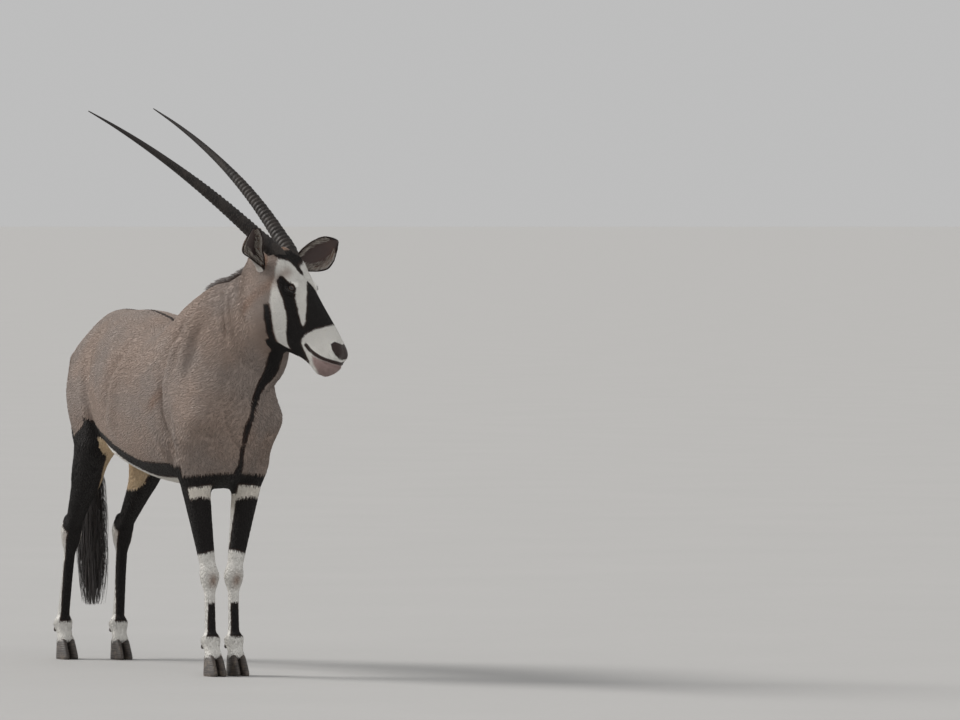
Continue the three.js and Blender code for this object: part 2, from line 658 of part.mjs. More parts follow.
// The outside of the leaf, larger by a margin, and the hollow inside it.
function earOutside(t, open, grow) {
  const depth = earDepth(t)[0];
  return { width: earWidth(t)[0] + grow, back: depth + grow, front: mix(depth, 5, open) + grow };
}
function earInside(t, open) {
  const width = Math.max(earWidth(t)[0] - EAR_WALL, 1) * mix(0.3, 1, open);
  const back = Math.max(earDepth(t)[0] - EAR_WALL, 0.8) * mix(0.2, 1, open);
  return { width, back, front: 38 * open + 2 };
}
function earLeaf(side, { grow = 0, inside = false } = {}) {
  const COUNT = 10;
  const curve = earCurve(side, grow);
  const facing = wayOnHead(EAR_FACES, side);
  const rings = [];
  for (let i = inside ? 2 : 0; i <= COUNT; i++) {
    const t = Math.min(i / COUNT, inside ? 0.97 : 1);
    const frame = frameOf(curve.getTangentAt(t), facing);
    const open = smooth((t - 0.14) / 0.24);
    const { width, back, front } = inside ? earInside(t, open) : earOutside(t, open, grow);
    rings.push(Array.from({ length: 12 }, (_, k) => {
      const angle = (2 * Math.PI * k) / 12;
      const [across, up] = [Math.sin(angle), Math.cos(angle)];
      const skew = EAR_BREADTH[side > 0 ? 1 : 0] * (1 - side * Math.sign(across) * earSkew(t));
      return place(curve.getPointAt(t), frame, 0, width * across * skew, up * (up > 0 ? front : back));
    }));
  }
  return skinOf(rings);
}
const ear = (side) => earLeaf(side).subtract(earLeaf(side, { inside: true }));

// Hair in locks

// Repeatable numbers from 0 to 1.
function seeded(seed) {
  let state = seed;
  return () => {
    state = (state * 16807) % 2147483647;
    return state / 2147483647;
  };
}
// A flat lock that tapers to its tip, with its flat side facing along the hint.
function lock(knots, hint, width, depth, steps = 5) {
  const curve = new THREE.CatmullRomCurve3(knots);
  const halfWidth = (t) => Math.max(width * (1 - t ** 1.6) * (0.75 + t * 0.6), 0.6);
  const halfDepth = (t) => Math.max(depth * (1 - t * 0.85), 0.3);
  return skinOf(sweepRings(curve, hint, steps, 4, (t) => [halfWidth(t), halfDepth(t)]));
}

// Tail: a bare dock above, and a tassel of locks from its lower half

const TAIL_ROOT = vec(-606, 0, 1002);
const tailCurve = new THREE.CatmullRomCurve3([
  TAIL_ROOT,
  vec(-662, 1, 992),
  vec(-694, 2, 930),
  vec(-710, 4, 800),
  vec(-718, 8, 620),
  vec(-718, 12, 430),
  vec(-714, 14, 250),
]);
const tailRadius = profile([[0, 21], [0.12, 19], [0.32, 13], [0.45, 20], [0.6, 34], [0.8, 32], [1, 8]]);
const tailShape = (t) => [tailRadius(t)[0], tailRadius(t)[0] * 0.85];
const tailStem = (grow = 0) => skinOf(sweepRings(tailCurve, vec(1, 0, 0), 14, 10, tailShape, grow));
function tail() {
  const random = seeded(7);
  const LOCKS = 17;
  let solid = tailStem();
  for (let i = 0; i < LOCKS; i++) {
    const t = mix(0.36, 0.9, i / (LOCKS - 1));
    const angle = i * 2.4;
    const out = vec(Math.cos(angle) * 0.8, Math.sin(angle), 0);
    const radius = tailRadius(t)[0];
    const length = mix(150, 230, random());
    const root = tailCurve.getPointAt(t).addScaledVector(out, radius * 0.45);
    const knots = [0, 0.3, 0.65, 1].map((share) => {
      const spread = radius * (0.45 + 0.75 * Math.sin(share * 2.2)) * (0.9 + 0.3 * random());
      const centre = tailCurve.getPointAt(Math.min(t + (share * length) / tailCurve.getLength(), 1));
      const low = Math.min(root.z - share * length, centre.z);
      return vec(centre.x, centre.y, Math.max(low, 170)).addScaledVector(out, spread);
    });
    solid = solid.add(lock(knots, out, mix(13, 18, random()), 5, 4));
  }
  return largest(solid.subtract(socketSkin));
}

// Mane: short locks that stand on the crest of the neck and lean back

function maneLocks(from, to, count, seed) {
  const random = seeded(seed);
  return Array.from({ length: count }, (_, i) => {
    const share = (i + 0.5) / count;
    const root = crest(mix(from, to, share));
    const next = crest(mix(from, to, share) - 0.06);
    const back = next.clone().sub(root).normalize();
    const up = frameOf(back.clone().negate(), vec(0, 0, 1)).up;
    const lean = vec(0, i % 2 ? 1 : -1, 0).multiplyScalar(mix(2, 9, random()));
    const tall = mix(24, 36, random());
    const knots = [
      root.clone().addScaledVector(up, -12).addScaledVector(back, -8),
      root.clone().addScaledVector(up, tall * 0.45).addScaledVector(back, 6).add(lean),
      root.clone().addScaledVector(up, tall * 0.75).addScaledVector(back, tall * 1.3).add(lean),
    ];
    return lock(knots, vec(0, 1, 0), 25, 7, 4);
  });
}
const CREST_UP = vec(-0.45, -0.04, 0.9).normalize();
// The crest line from the withers (0) to the back of the skull (1), found on the surface.
function crest(share) {
  const from = vec(330, 0, 1150);
  const bend = vec(500, 16, 1120);
  const to = vec(650, 72, 1200);
  const line = new THREE.QuadraticBezierCurve3(from, bend, to);
  const origin = line.getPoint(Math.max(share, 0));
  return origin.clone().addScaledVector(CREST_UP, exitOf(bodyField, origin, CREST_UP, 200, 0));
}
const withLocks = (solid, locks) => largest(locks.reduce((sum, one) => sum.add(one), solid));

// Put together

const group = new THREE.Group();
function add(name, solid, colour, roughness = 0.8) {
  const mesh = solid.getMesh();
  const stride = mesh.numProp;
  const positions = new Float32Array(mesh.numVert * 3);
  for (let i = 0; i < mesh.numVert; i++) {
    positions.set(mesh.vertProperties.subarray(i * stride, i * stride + 3), i * 3);
  }
  const geometry = new THREE.BufferGeometry();
  geometry.setAttribute("position", new THREE.BufferAttribute(positions, 3));
  geometry.setIndex(new THREE.BufferAttribute(new Uint32Array(mesh.triVerts), 1));
  const material = new THREE.MeshStandardMaterial({ color: colour, roughness, metalness: 0 });
  const made = new THREE.Mesh(geometry, material);
  made.name = name;
  group.add(made);
}

const COAT = 0xa99787;
const FACE = 0xe8e4da;
const DARK = 0x1d1613;
const HORN = 0x2b2421;
const sideName = (name, side) => `${name}_${side > 0 ? "left" : "right"}`;

const whole = withLocks(trunk(), maneLocks(-0.15, 0.86, 16, 5));
const socketSkin = net(bodyField, TAIL_ROOT, BODY, [[-90, 90, 10], [-90, 90, 10], [-90, 90, 10]]);
const torsoBody = largest(whole.subtract(ahead(neckBase, 0)).subtract(tailStem(GAP)));
const earCuts = bothSides((side) => earLeaf(side, { grow: GAP }));
const neckRaw = whole.intersect(ahead(neckBase, GAP)).subtract(ahead(headBase, 0));
const neckBody = largest(neckRaw.subtract(earCuts[0]).subtract(earCuts[1]));
add("torso", torsoBody, COAT);
add("neck", neckBody, COAT);

let headBody = headSkin();
for (const side of [-1, 1]) {
  headBody = headBody.add(lids(side)).subtract(eyeOpening(side)).subtract(eyeball(side, GAP));
  headBody = headBody.subtract(hornSocket(side)).subtract(nostril(side));
  headBody = headBody.subtract(earLeaf(side, { grow: GAP }));
}
headBody = largest(headBody.subtract(mouth()));
add("head", headBody, FACE);
for (const side of [-1, 1]) {
  add(sideName("eye", side), eyeball(side), 0x0c0806, 0.1);
  add(sideName("ear", side), largest(ear(side)), COAT);
  add(sideName("horn", side), horn(side), HORN, 0.5);
}
add("tail", tail(), DARK);
const footed = (j) => largest(leg(j).subtract(dewclaw(j, -1, GAP)).subtract(dewclaw(j, 1, GAP)));
for (const j of foreLegs) add(sideName("foreleg", j.side), footed(j), DARK);
for (const j of hindLegs) add(sideName("hindleg", j.side), footed(j), DARK);
for (const [foot, legs] of [["fore", foreLegs], ["hind", hindLegs]]) {
  for (const j of legs) {
    for (const side of [-1, 1]) {
      const where = side === j.side ? "outer" : "inner";
      add(`${sideName(`${foot}_claw`, j.side)}_${where}`, claw(j.coronet, side), HORN, 0.5);
      add(`${sideName(`${foot}_dewclaw`, j.side)}_${where}`, dewclaw(j, side), HORN, 0.5);
    }
  }
}

// The origin is the middle of the base of everything.
const bounds = new THREE.Box3().setFromObject(group);
const middle = bounds.getCenter(vec(0, 0, 0));
for (const mesh of group.children) mesh.geometry.translate(-middle.x, -middle.y, -bounds.min.z);

export default group;
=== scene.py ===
# A life-size gemsbok: one skin with its markings, short fur in tufts, mane, tassel, eyes, horns and claws.
# Shapes are worked out in millimetres, the feet on Z = 0 and the spine on Y = 0, then set in the frame.

import math

import bmesh
import bpy
import numpy as np
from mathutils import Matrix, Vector


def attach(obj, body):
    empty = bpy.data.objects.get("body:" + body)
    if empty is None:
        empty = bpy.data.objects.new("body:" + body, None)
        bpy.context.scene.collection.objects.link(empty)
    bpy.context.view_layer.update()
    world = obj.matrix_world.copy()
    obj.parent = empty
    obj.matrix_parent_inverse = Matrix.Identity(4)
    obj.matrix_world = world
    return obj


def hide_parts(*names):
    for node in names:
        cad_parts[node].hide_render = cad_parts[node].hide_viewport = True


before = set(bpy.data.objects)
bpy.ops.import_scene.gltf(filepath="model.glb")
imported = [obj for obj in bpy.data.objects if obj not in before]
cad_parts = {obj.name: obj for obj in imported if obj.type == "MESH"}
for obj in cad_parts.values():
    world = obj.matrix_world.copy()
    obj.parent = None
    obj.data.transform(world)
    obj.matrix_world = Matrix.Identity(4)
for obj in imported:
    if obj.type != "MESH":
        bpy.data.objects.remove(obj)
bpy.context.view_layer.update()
RANDOM = np.random.default_rng(12)

# The middle of the solids' base in the millimetre frame used here
BASE_MIDDLE = np.array([65.883, -63.715, 0.0])


def metres(points):
    return (np.asarray(points, float) - BASE_MIDDLE) / 1000


# Camera, at the photograph's angle and framing
CAMERA_YAW = math.radians(22.5)
CAMERA_ELEVATION = math.radians(3.2)
CAMERA_DISTANCE = 25.0
FOCAL_PIXELS = 8075.0
FRAME_WIDTH = 960
FRAME_HEIGHT = 720
GROUND_POINT = metres([420, 0, 0])
GROUND_PIXEL = (222.9, 675.0)
SENSOR_WIDTH = 36
FARTHEST_SEEN = 9000
camera_back = np.array([
    math.cos(CAMERA_ELEVATION) * math.cos(CAMERA_YAW),
    -math.cos(CAMERA_ELEVATION) * math.sin(CAMERA_YAW),
    math.sin(CAMERA_ELEVATION),
])
picture_right = np.array([math.sin(CAMERA_YAW), math.cos(CAMERA_YAW), 0.0])
picture_up = np.cross(picture_right, -camera_back)
aim = (
    -camera_back
    + picture_right * (FRAME_WIDTH / 2 - GROUND_PIXEL[0]) / FOCAL_PIXELS
    + picture_up * (GROUND_PIXEL[1] - FRAME_HEIGHT / 2) / FOCAL_PIXELS
)
camera = bpy.data.objects.new("camera", bpy.data.cameras.new("camera"))
camera.data.sensor_width = SENSOR_WIDTH
camera.data.lens = FOCAL_PIXELS / FRAME_WIDTH * SENSOR_WIDTH
camera.data.clip_end = FARTHEST_SEEN
camera.location = GROUND_POINT + camera_back * CAMERA_DISTANCE
camera.rotation_euler = Vector(aim).to_track_quat("-Z", "Y").to_euler()
bpy.context.scene.collection.objects.link(camera)
bpy.context.scene.camera = camera

# Vectors, axes and curves


def unit(v):
    v = np.asarray(v, float)
    return v / np.maximum(np.linalg.norm(v, axis=-1, keepdims=True), 1e-9)


def step(low, high, value):
    t = np.clip((value - low) / (high - low), 0, 1)
    return t * t * (3 - 2 * t)


def mix(a, b, t):
    return a + (b - a) * t


# One at the middle, falling off to both sides over a width
def bell(value, middle, width):
    return np.exp(-(((value - middle) / width) ** 2))


def length_of(v):
    return np.linalg.norm(v, axis=1)


# Rows forward, left and up of something that points along forward
def axes_of(forward, hint):
    f = unit(forward)
    left = unit(np.cross(hint, f))
    return np.array([f, left, np.cross(f, left)])


def heading(yaw, pitch, roll=0.0):
    a, b, c = math.radians(yaw), math.radians(pitch), math.radians(roll)
    f = np.array([math.cos(b) * math.cos(a), math.cos(b) * math.sin(a), math.sin(b)])
    up = np.array([-math.sin(b) * math.cos(a), -math.sin(b) * math.sin(a), math.cos(b)])
    turned = up * math.cos(c) + np.cross(f, up) * math.sin(c)
    return axes_of(f, turned)


# A smooth curve through rows of (station, value, value, ...), held level past both ends
def profile(rows):
    table = np.array(rows, float)
    stations, values = table[:, 0], table[:, 1:]
    last = len(table) - 1
    after = np.minimum(np.arange(last + 1) + 1, last)
    before = np.maximum(np.arange(last + 1) - 1, 0)
    slopes = (values[after] - values[before]) / (stations[after] - stations[before])[:, None]

    def at(station):
        t = np.clip(station, stations[0], stations[-1])
        i = np.clip(np.searchsorted(stations, t, side="right") - 1, 0, last - 1)
        span = (stations[i + 1] - stations[i])[..., None]
        u = (t - stations[i])[..., None] / span
        rise = (1 - u) * slopes[i] - u * slopes[i + 1]
        return mix(values[i], values[i + 1], u * u * (3 - 2 * u)) + u * (1 - u) * span * rise

    return at


# Points and directions along a smooth curve through knots, at shares of its length
def curve_through(knots):
    knots = np.array(knots, float)
    lengths = np.concatenate([[0], np.cumsum(length_of(np.diff(knots, axis=0)))])
    at = profile(np.column_stack([lengths / lengths[-1], knots]))

    def along(t):
        t = np.asarray(t, float)
        return at(t), unit(at(np.minimum(t + 0.004, 1)) - at(np.maximum(t - 0.004, 0)))

    along.length = lengths[-1]
    return along


# Fields give the distance outside a surface, negative inside. These say how softly they melt together.
LEG_BLEND = 34
SKULL_BLEND = 26
TRUNK_BLEND = 78
HEAD_BLEND = 60
LIMB_BLEND = 46
DOCK_BLEND = 24


def tube(origin, axes, rows, bulge=1):
    shape = profile([row if len(row) == 5 else (*row, 2) for row in rows])
    first, final = rows[0][0], rows[-1][0]

    def field(p):
        v = (p - origin) @ axes.T
        above, below, half, power = shape(v[:, 0]).T
        r = np.hypot(v[:, 1], v[:, 2]) + 1e-6
        reach = np.where(v[:, 2] > 0, above, below)
        total = np.abs(v[:, 2] / r / reach) ** power + np.abs(v[:, 1] / r / half) ** power
        total = np.maximum(total, 1e-9)
        past = np.maximum(np.maximum(first - v[:, 0], v[:, 0] - final), 0) * bulge
        return np.hypot(r, past) - total ** (-1 / power)

    return field


def ball(origin, axes, reach):
    reach = np.array(reach, float)

    def field(p):
        v = (p - origin) @ axes.T
        a = length_of(v / reach)
        b = length_of(v / reach**2) + 1e-9
        return a * (a - 1) / b

    return field


def soft_min(a, b, k):
    h = np.maximum(k - np.abs(a - b), 0) / k
    return np.minimum(a, b) - h * h * k / 4


def blend(k, *fields):
    def field(p):
        found = fields[0](p)
        for other in fields[1:]:
            found = soft_min(found, other(p), k)
        return found

    return field


def bone(start, end, rows, bulge=1):
    start, end = np.array(start, float), np.array(end, float)
    length = np.linalg.norm(end - start)
    axes = axes_of(end - start, [1, 0, 0])
    return tube(start, axes, [(share * length, *reach) for share, *reach in rows], bulge)


# Trunk and neck
BODY = np.eye(3)
WAIST_Z = 868
TORSO_ROWS = [
    (-654, 958, 850, 48, 2),
    (-638, 984, 805, 72, 1.9),
    (-590, 1038, 752, 109, 1.7),
    (-500, 1106, 716, 142, 1.65),
    (-400, 1124, 690, 156, 1.8),
    (-290, 1122, 660, 171, 1.95),
    (-160, 1122, 624, 192, 2.15),
    (-20, 1102, 598, 198, 2.15),
    (110, 1076, 586, 194, 2.1),
    (230, 1128, 582, 176, 2),
    (330, 1174, 578, 156, 1.9),
    (420, 1176, 582, 143, 1.9),
    (500, 1084, 608, 119, 2),
    (560, 992, 662, 86, 2),
    (584, 930, 708, 63, 2),
]
torso_field = tube(
    np.array([0, 0, WAIST_Z]),
    BODY,
    [(x, top - WAIST_Z, WAIST_Z - low, half, power) for x, top, low, half, power in TORSO_ROWS],
    4,
)
NECK_START = np.array([390.0, 0, 975])
NECK_AXES = axes_of(np.array([656.0, 84, 1176]) - NECK_START, [-1, 0, 1])
NECK_ROWS = [
    (0, 186, 194, 120),
    (110, 187, 162, 105),
    (210, 167, 142, 93),
    (300, 136, 138, 87),
    (350, 106, 116, 73),
]
neck_field = tube(NECK_START, NECK_AXES, NECK_ROWS, 2)

# Head, with x to the nose, y to its left and z out of the forehead
HEAD_ORIGIN = np.array([690.0, 88, 1295])
HEAD = heading(35, -54, -3)
HEAD_AXIS_DROP = 62


def on_head(x, y, z):
    return HEAD_ORIGIN + np.array([x, y, z], float) @ HEAD


def in_head(p):
    return (p - HEAD_ORIGIN) @ HEAD.T


skull = tube(on_head(0, 0, -HEAD_AXIS_DROP), HEAD, [
    (-58, 20, 40, 34, 2),
    (-36, 46, 76, 54, 2.1),
    (0, 68, 104, 64, 2.1),
    (50, 82, 112, 68, 2.2),
    (100, 86, 114, 69, 2.2),
    (150, 87, 118, 64, 2.2),
    (200, 85, 106, 54, 2.3),
    (250, 84, 86, 46, 2.4),
    (300, 82, 57, 43, 2.4),
    (340, 76, 43, 44, 2.4),
    (368, 62, 40, 39, 2.2),
    (381, 40, 28, 29, 2),
], 3)
SIDES = (-1, 1)
head_lumps = []
for side in SIDES:
    head_lumps += [
        ball(on_head(104, side * 50, 2), HEAD, (36, 18, 16)),
        ball(on_head(100, side * 48, -98), HEAD, (76, 26, 66)),
        ball(on_head(352, side * 25, -16), HEAD, (24, 15, 16)),
        ball(on_head(338, side * 24, -60), HEAD, (46, 22, 21)),
        ball(on_head(8, side * 33, -4), HEAD, (44, 32, 27)),
        ball(on_head(42, side * 48, -4), HEAD, (42, 27, 25)),
    ]
head_lumps.append(ball(on_head(349, 0, -77), HEAD, (31, 23, 12)))
head_field = blend(SKULL_BLEND, skull, *head_lumps)

# Legs, joint by joint
CORONET_Z = 58


def fore_joints(side):
    return {
        "side": side,
        "blade": (292, side * 88, 1056),
        "point": (500, side * 100, 796),
        "elbow": (392, side * 96 + 4, 655),
        "knee": (428, side * 40 - 9, 306),
        "fetlock": (424, side * 39 - 5, 112),
        "coronet": (442, side * 38 - 4, CORONET_Z),
    }


def hind_joints(side):
    return {
        "side": side,
        "hip": (-470, side * 70, 960),
        "pin": (-600, side * 60, 955),
        "stifle": (-384, side * 106 + 2, 690),
        "hock": (-606, side * 88 - 12, 412),
        "fetlock": (-592, 55, 116) if side > 0 else (-688, -98, 116),
        "coronet": (-572, 53, CORONET_Z) if side > 0 else (-666, -97, CORONET_Z),
    }


PASTERN = [(0, 20, 24, 21), (0.45, 19, 21, 21), (1, 25, 25, 27)]


def fore_bones(j):
    return [
        bone(j["blade"], j["point"], [(0.1, 56, 66, 33), (0.5, 76, 88, 50), (1, 60, 74, 50)]),
        bone(j["point"], j["elbow"], [(0, 60, 56, 50), (1, 58, 58, 48)]),
        bone(j["elbow"], j["knee"], [
            (0, 58, 62, 46), (0.25, 47, 48, 41), (0.6, 32, 34, 31), (0.86, 24, 26, 24), (1, 22, 21, 20),
        ]),
        bone(j["knee"], j["fetlock"], [
            (0, 23, 21, 21), (0.14, 20, 21, 19), (0.3, 17, 20, 16), (0.8, 17, 20, 16), (1, 20, 24, 20),
        ]),
        bone(j["fetlock"], j["coronet"], PASTERN, 2),
    ]


def hind_bones(j):
    stifle, hock = np.array(j["stifle"], float), np.array(j["hock"], float)
    ham = (mix(stifle[0], hock[0], 0.45), stifle[1] - j["side"] * 8, 600)
    return [
        bone(j["hip"], stifle, [(0, 90, 98, 62), (0.5, 106, 112, 74), (1, 58, 76, 50)]),
        bone(j["pin"], ham, [(0, 52, 34, 42), (0.6, 68, 43, 46), (1, 52, 34, 34)]),
        bone(stifle, hock, [
            (0, 60, 80, 50), (0.35, 54, 62, 43), (0.65, 37, 44, 32), (0.88, 27, 35, 24), (1, 26, 27, 22),
        ]),
        bone(hock, j["fetlock"], [
            (0, 26, 29, 22), (0.12, 23, 25, 21), (0.28, 18, 21, 17), (0.8, 18, 20, 17), (1, 20, 24, 20),
        ]),
        bone(j["fetlock"], j["coronet"], PASTERN, 2),
        bone(hock + [-22, 0, 40], hock + [-8, 0, -30], [(0, 12, 9, 10), (1, 15, 15, 14)]),
    ]


fore_legs = [fore_joints(side) for side in SIDES]
hind_legs = [hind_joints(side) for side in SIDES]
all_legs = fore_legs + hind_legs
leg_fields = [blend(LEG_BLEND, *fore_bones(j)) for j in fore_legs]
leg_fields += [blend(LEG_BLEND, *hind_bones(j)) for j in hind_legs]

# Tail: the dock, on a curve that the tassel follows too
TAIL_KNOTS = [
    (-606, 0, 1002),
    (-662, 1, 992),
    (-694, 2, 930),
    (-710, 4, 800),
    (-718, 8, 620),
    (-718, 12, 430),
    (-714, 14, 250),
]
tail_curve = curve_through(TAIL_KNOTS)
dock_radius = profile([(0, 21), (0.12, 19), (0.32, 12), (0.5, 10), (1, 6)])
DOCK_SHARE = 0.75


def dock_field(p):
    shares = np.linspace(0, DOCK_SHARE, 40)
    centres, _ = tail_curve(shares)
    radii = dock_radius(shares)[:, 0]
    found = np.full(len(p), 1e3)
    for i in range(len(centres) - 1):
        way = centres[i + 1] - centres[i]
        t = np.clip((p - centres[i]) @ way / (way @ way), 0, 1)
        gap = length_of(p - centres[i] - t[:, None] * way) - mix(radii[i], radii[i + 1], t)
        found = np.minimum(found, gap)
    return found


# Legs, dock and head count only near themselves, which saves most of the work
def nearby(field, knots, reach, far=400.0):
    low = np.min(knots, axis=0) - reach
    high = np.max(knots, axis=0) + reach

    def bounded(p):
        found = np.full(len(p), far)
        inside = np.all((p > low) & (p < high), axis=1)
        if inside.any():
            found[inside] = field(p[inside])
        return found

    return bounded


def knots_of(j):
    return np.array([spot for name, spot in j.items() if name != "side"], float)


LEG_REACH = 190
DOCK_REACH = 90
HEAD_REACH = 300
near_legs = [nearby(field, knots_of(j), LEG_REACH) for field, j in zip(leg_fields, all_legs)]
near_dock = nearby(dock_field, TAIL_KNOTS, DOCK_REACH)
near_head = nearby(head_field, [on_head(-20, 0, -60), on_head(340, 0, -60)], HEAD_REACH)
throat_field = ball(np.array([575.0, 92, 985]), BODY, (60, 46, 70))
trunk_field = blend(TRUNK_BLEND, torso_field, neck_field, throat_field)


# The legs don't melt into one another, only into the trunk
def legs_field(p):
    return np.min([leg(p) for leg in near_legs], axis=0)


body_field = blend(LIMB_BLEND, blend(HEAD_BLEND, trunk_field, near_head), legs_field)
whole_field = blend(DOCK_BLEND, body_field, near_dock)
FLESH_LOW_Z = 52


def flesh_field(p):
    return np.maximum(whole_field(p), FLESH_LOW_Z - p[:, 2])


# The planes where the head meets the neck and the neck meets the trunk
HEAD_BASE = np.array([636.0, 60, 1178])
HEAD_BASE_AXES = heading(22, 2)
NECK_BASE = np.array([486.0, 10, 1016])
NECK_BASE_AXES = heading(8, 33)


def ahead_of_head_base(p):
    return (p - HEAD_BASE) @ HEAD_BASE_AXES[0]


def ahead_of_neck_base(p):
    return (p - NECK_BASE) @ NECK_BASE_AXES[0]


# Fine forms of the head: lids round an almond opening, nostrils, and the line of the mouth
EYE_RADIUS = 21
EYE_SPOTS = {side: on_head(116, side * 47, -6) for side in SIDES}
EYE_LID = 3.2
LID_HALF_LENGTH = 17.0
LID_HALF_HEIGHT = 9.5


def eye_axes(side):
    out = side * HEAD[1] + 0.2 * HEAD[2] + 0.12 * HEAD[0]
    return axes_of(out, HEAD[0] + 0.35 * HEAD[2])


def to_nearer_eye(p):
    return np.min([length_of(p - EYE_SPOTS[side]) for side in SIDES], axis=0)


# Negative inside the almond, whose long way runs along the eye's up axis
def almond(along, across):
    radius = (LID_HALF_LENGTH**2 + LID_HALF_HEIGHT**2) / (2 * LID_HALF_HEIGHT)
    offset = radius - LID_HALF_HEIGHT
    return np.maximum(np.hypot(along, across - offset), np.hypot(along, across + offset)) - radius


MOUTH_BACK = 262
MOUTH_LINE = [(272, -72), (298, -71), (320, -67), (342, -60), (364, -50), (384, -38), (410, -22)]


def polyline_gap(u, v, line):
    found = np.full(len(u), 1e3)
    for (ax, ay), (bx, by) in zip(line[:-1], line[1:]):
        wx, wy = bx - ax, by - ay
        t = np.clip(((u - ax) * wx + (v - ay) * wy) / (wx * wx + wy * wy), 0, 1)
        found = np.minimum(found, np.hypot(u - ax - t * wx, v - ay - t * wy))
    return found


nostril_pits = []
for side in SIDES:
    slit = axes_of(side * HEAD[1] + 0.55 * HEAD[0] + 0.1 * HEAD[2], HEAD[0])
    nostril_pits.append(ball(on_head(360, side * 31, -18), slit, (11, 7, 15)))

LID_FOLD_DEPTH = 1.6
MOUTH_DEPTH = 4.2
LOWER_LIP_RISE = 1.4


def detailed_field(p):
    found = flesh_field(p)
    for side in SIDES:
        v = (p - EYE_SPOTS[side]) @ eye_axes(side).T
        ball_gap = length_of(v) - EYE_RADIUS
        found = soft_min(found, ball_gap - EYE_LID, 7)
        opening = np.maximum(almond(v[:, 2], v[:, 1]), -v[:, 0])
        hollow = np.maximum(opening, 0.6 - ball_gap)
        found = -soft_min(-found, hollow, 1.2)
        # A soft crease above the upper lid
        fold = np.abs(np.hypot(v[:, 2] * 0.8, v[:, 1] - 4) - 21)
        found = found + LID_FOLD_DEPTH * bell(fold, 0, 3.2) * step(0, 8, v[:, 1]) * step(-2, 6, v[:, 0])
    for pit in nostril_pits:
        found = -soft_min(-found, pit(p), 4)
    h = in_head(p)
    lips = polyline_gap(h[:, 0], h[:, 2], MOUTH_LINE)
    front = step(MOUTH_BACK, MOUTH_BACK + 20, h[:, 0])
    found = found + MOUTH_DEPTH * bell(lips, 0, 2.4) * front
    below = bell(lips, 9, 7) * front * (h[:, 2] < -20)
    return found - LOWER_LIP_RISE * below


# Nets and settling


def slopes_of(field, p, base):
    return np.column_stack([field(p + np.eye(3)[axis]) - base for axis in range(3)])


def settled(field, points, rounds=3, limit=6.0):
    found = points.copy()
    for _ in range(rounds):
        base = field(found)
        slope = slopes_of(field, found, base)
        move = -slope * (base / np.maximum((slope**2).sum(1), 0.2))[:, None]
        length = np.linalg.norm(move, axis=1, keepdims=True)
        found += move * np.minimum(1, limit / np.maximum(length, 1e-6))
    return found


# A skin of near-square cells over a field, which is looked at in coarse blocks of cells, and closely only
# near the surface
COARSE = 4


def net(field, low, high, cell):
    counts = (np.ceil((np.array(high) - low) / cell / COARSE).astype(int) + 1) * COARSE
    coarse_at = [np.arange(0, n, COARSE) + COARSE / 2 - 0.5 for n in counts]
    grid = np.stack(np.meshgrid(*coarse_at, indexing="ij"), -1).reshape(-1, 3)
    coarse = field(low + grid * cell).reshape([len(a) for a in coarse_at])
    values = coarse
    for axis in range(3):
        values = np.repeat(values, COARSE, axis=axis)
    close = np.argwhere(np.abs(values) < cell * COARSE * 1.25)
    values[tuple(close.T)] = field(low + close * cell)
    inside = values < 0
    corners = np.array([(i & 1, i >> 1 & 1, i >> 2) for i in range(8)])
    shifted = [tuple(slice(c, n - 1 + c) for c, n in zip(corner, counts)) for corner in corners]
    count_in = sum(inside[part].astype(int) for part in shifted)
    cells = np.argwhere((count_in > 0) & (count_in < 8))
    at_corner = np.stack([values[tuple((cells + corner).T)] for corner in corners], 1)
    total = np.zeros((len(cells), 3))
    crossings = np.zeros(len(cells))
    for a in range(8):
        for axis in range(3):
            b = a | 1 << axis
            if b == a:
                continue
            va, vb = at_corner[:, a], at_corner[:, b]
            cross = (va < 0) != (vb < 0)
            t = np.where(cross, va, 0) / np.where(cross, va - vb, 1)
            spot = corners[a] + t[:, None] * np.eye(3)[axis]
            total += spot * cross[:, None]
            crossings += cross
    points = low + (cells + total / crossings[:, None]) * cell
    number = np.full(counts, -1)
    number[tuple(cells.T)] = np.arange(len(cells))
    quads = []
    for axis in range(3):
        ahead = [slice(None)] * 3
        here = [slice(None)] * 3
        ahead[axis], here[axis] = slice(1, None), slice(None, -1)
        edges = np.argwhere(inside[tuple(here)] != inside[tuple(ahead)])
        u, v = np.eye(3, dtype=int)[(axis + 1) % 3], np.eye(3, dtype=int)[(axis + 2) % 3]
        around = [edges, edges - u, edges - u - v, edges - v]
        quad = np.stack([number[tuple(cell_at.T)] for cell_at in around], 1)
        outward = inside[tuple(edges.T)]
        quads.append(np.where(outward[:, None], quad, quad[:, ::-1]))
    return points, np.concatenate(quads)


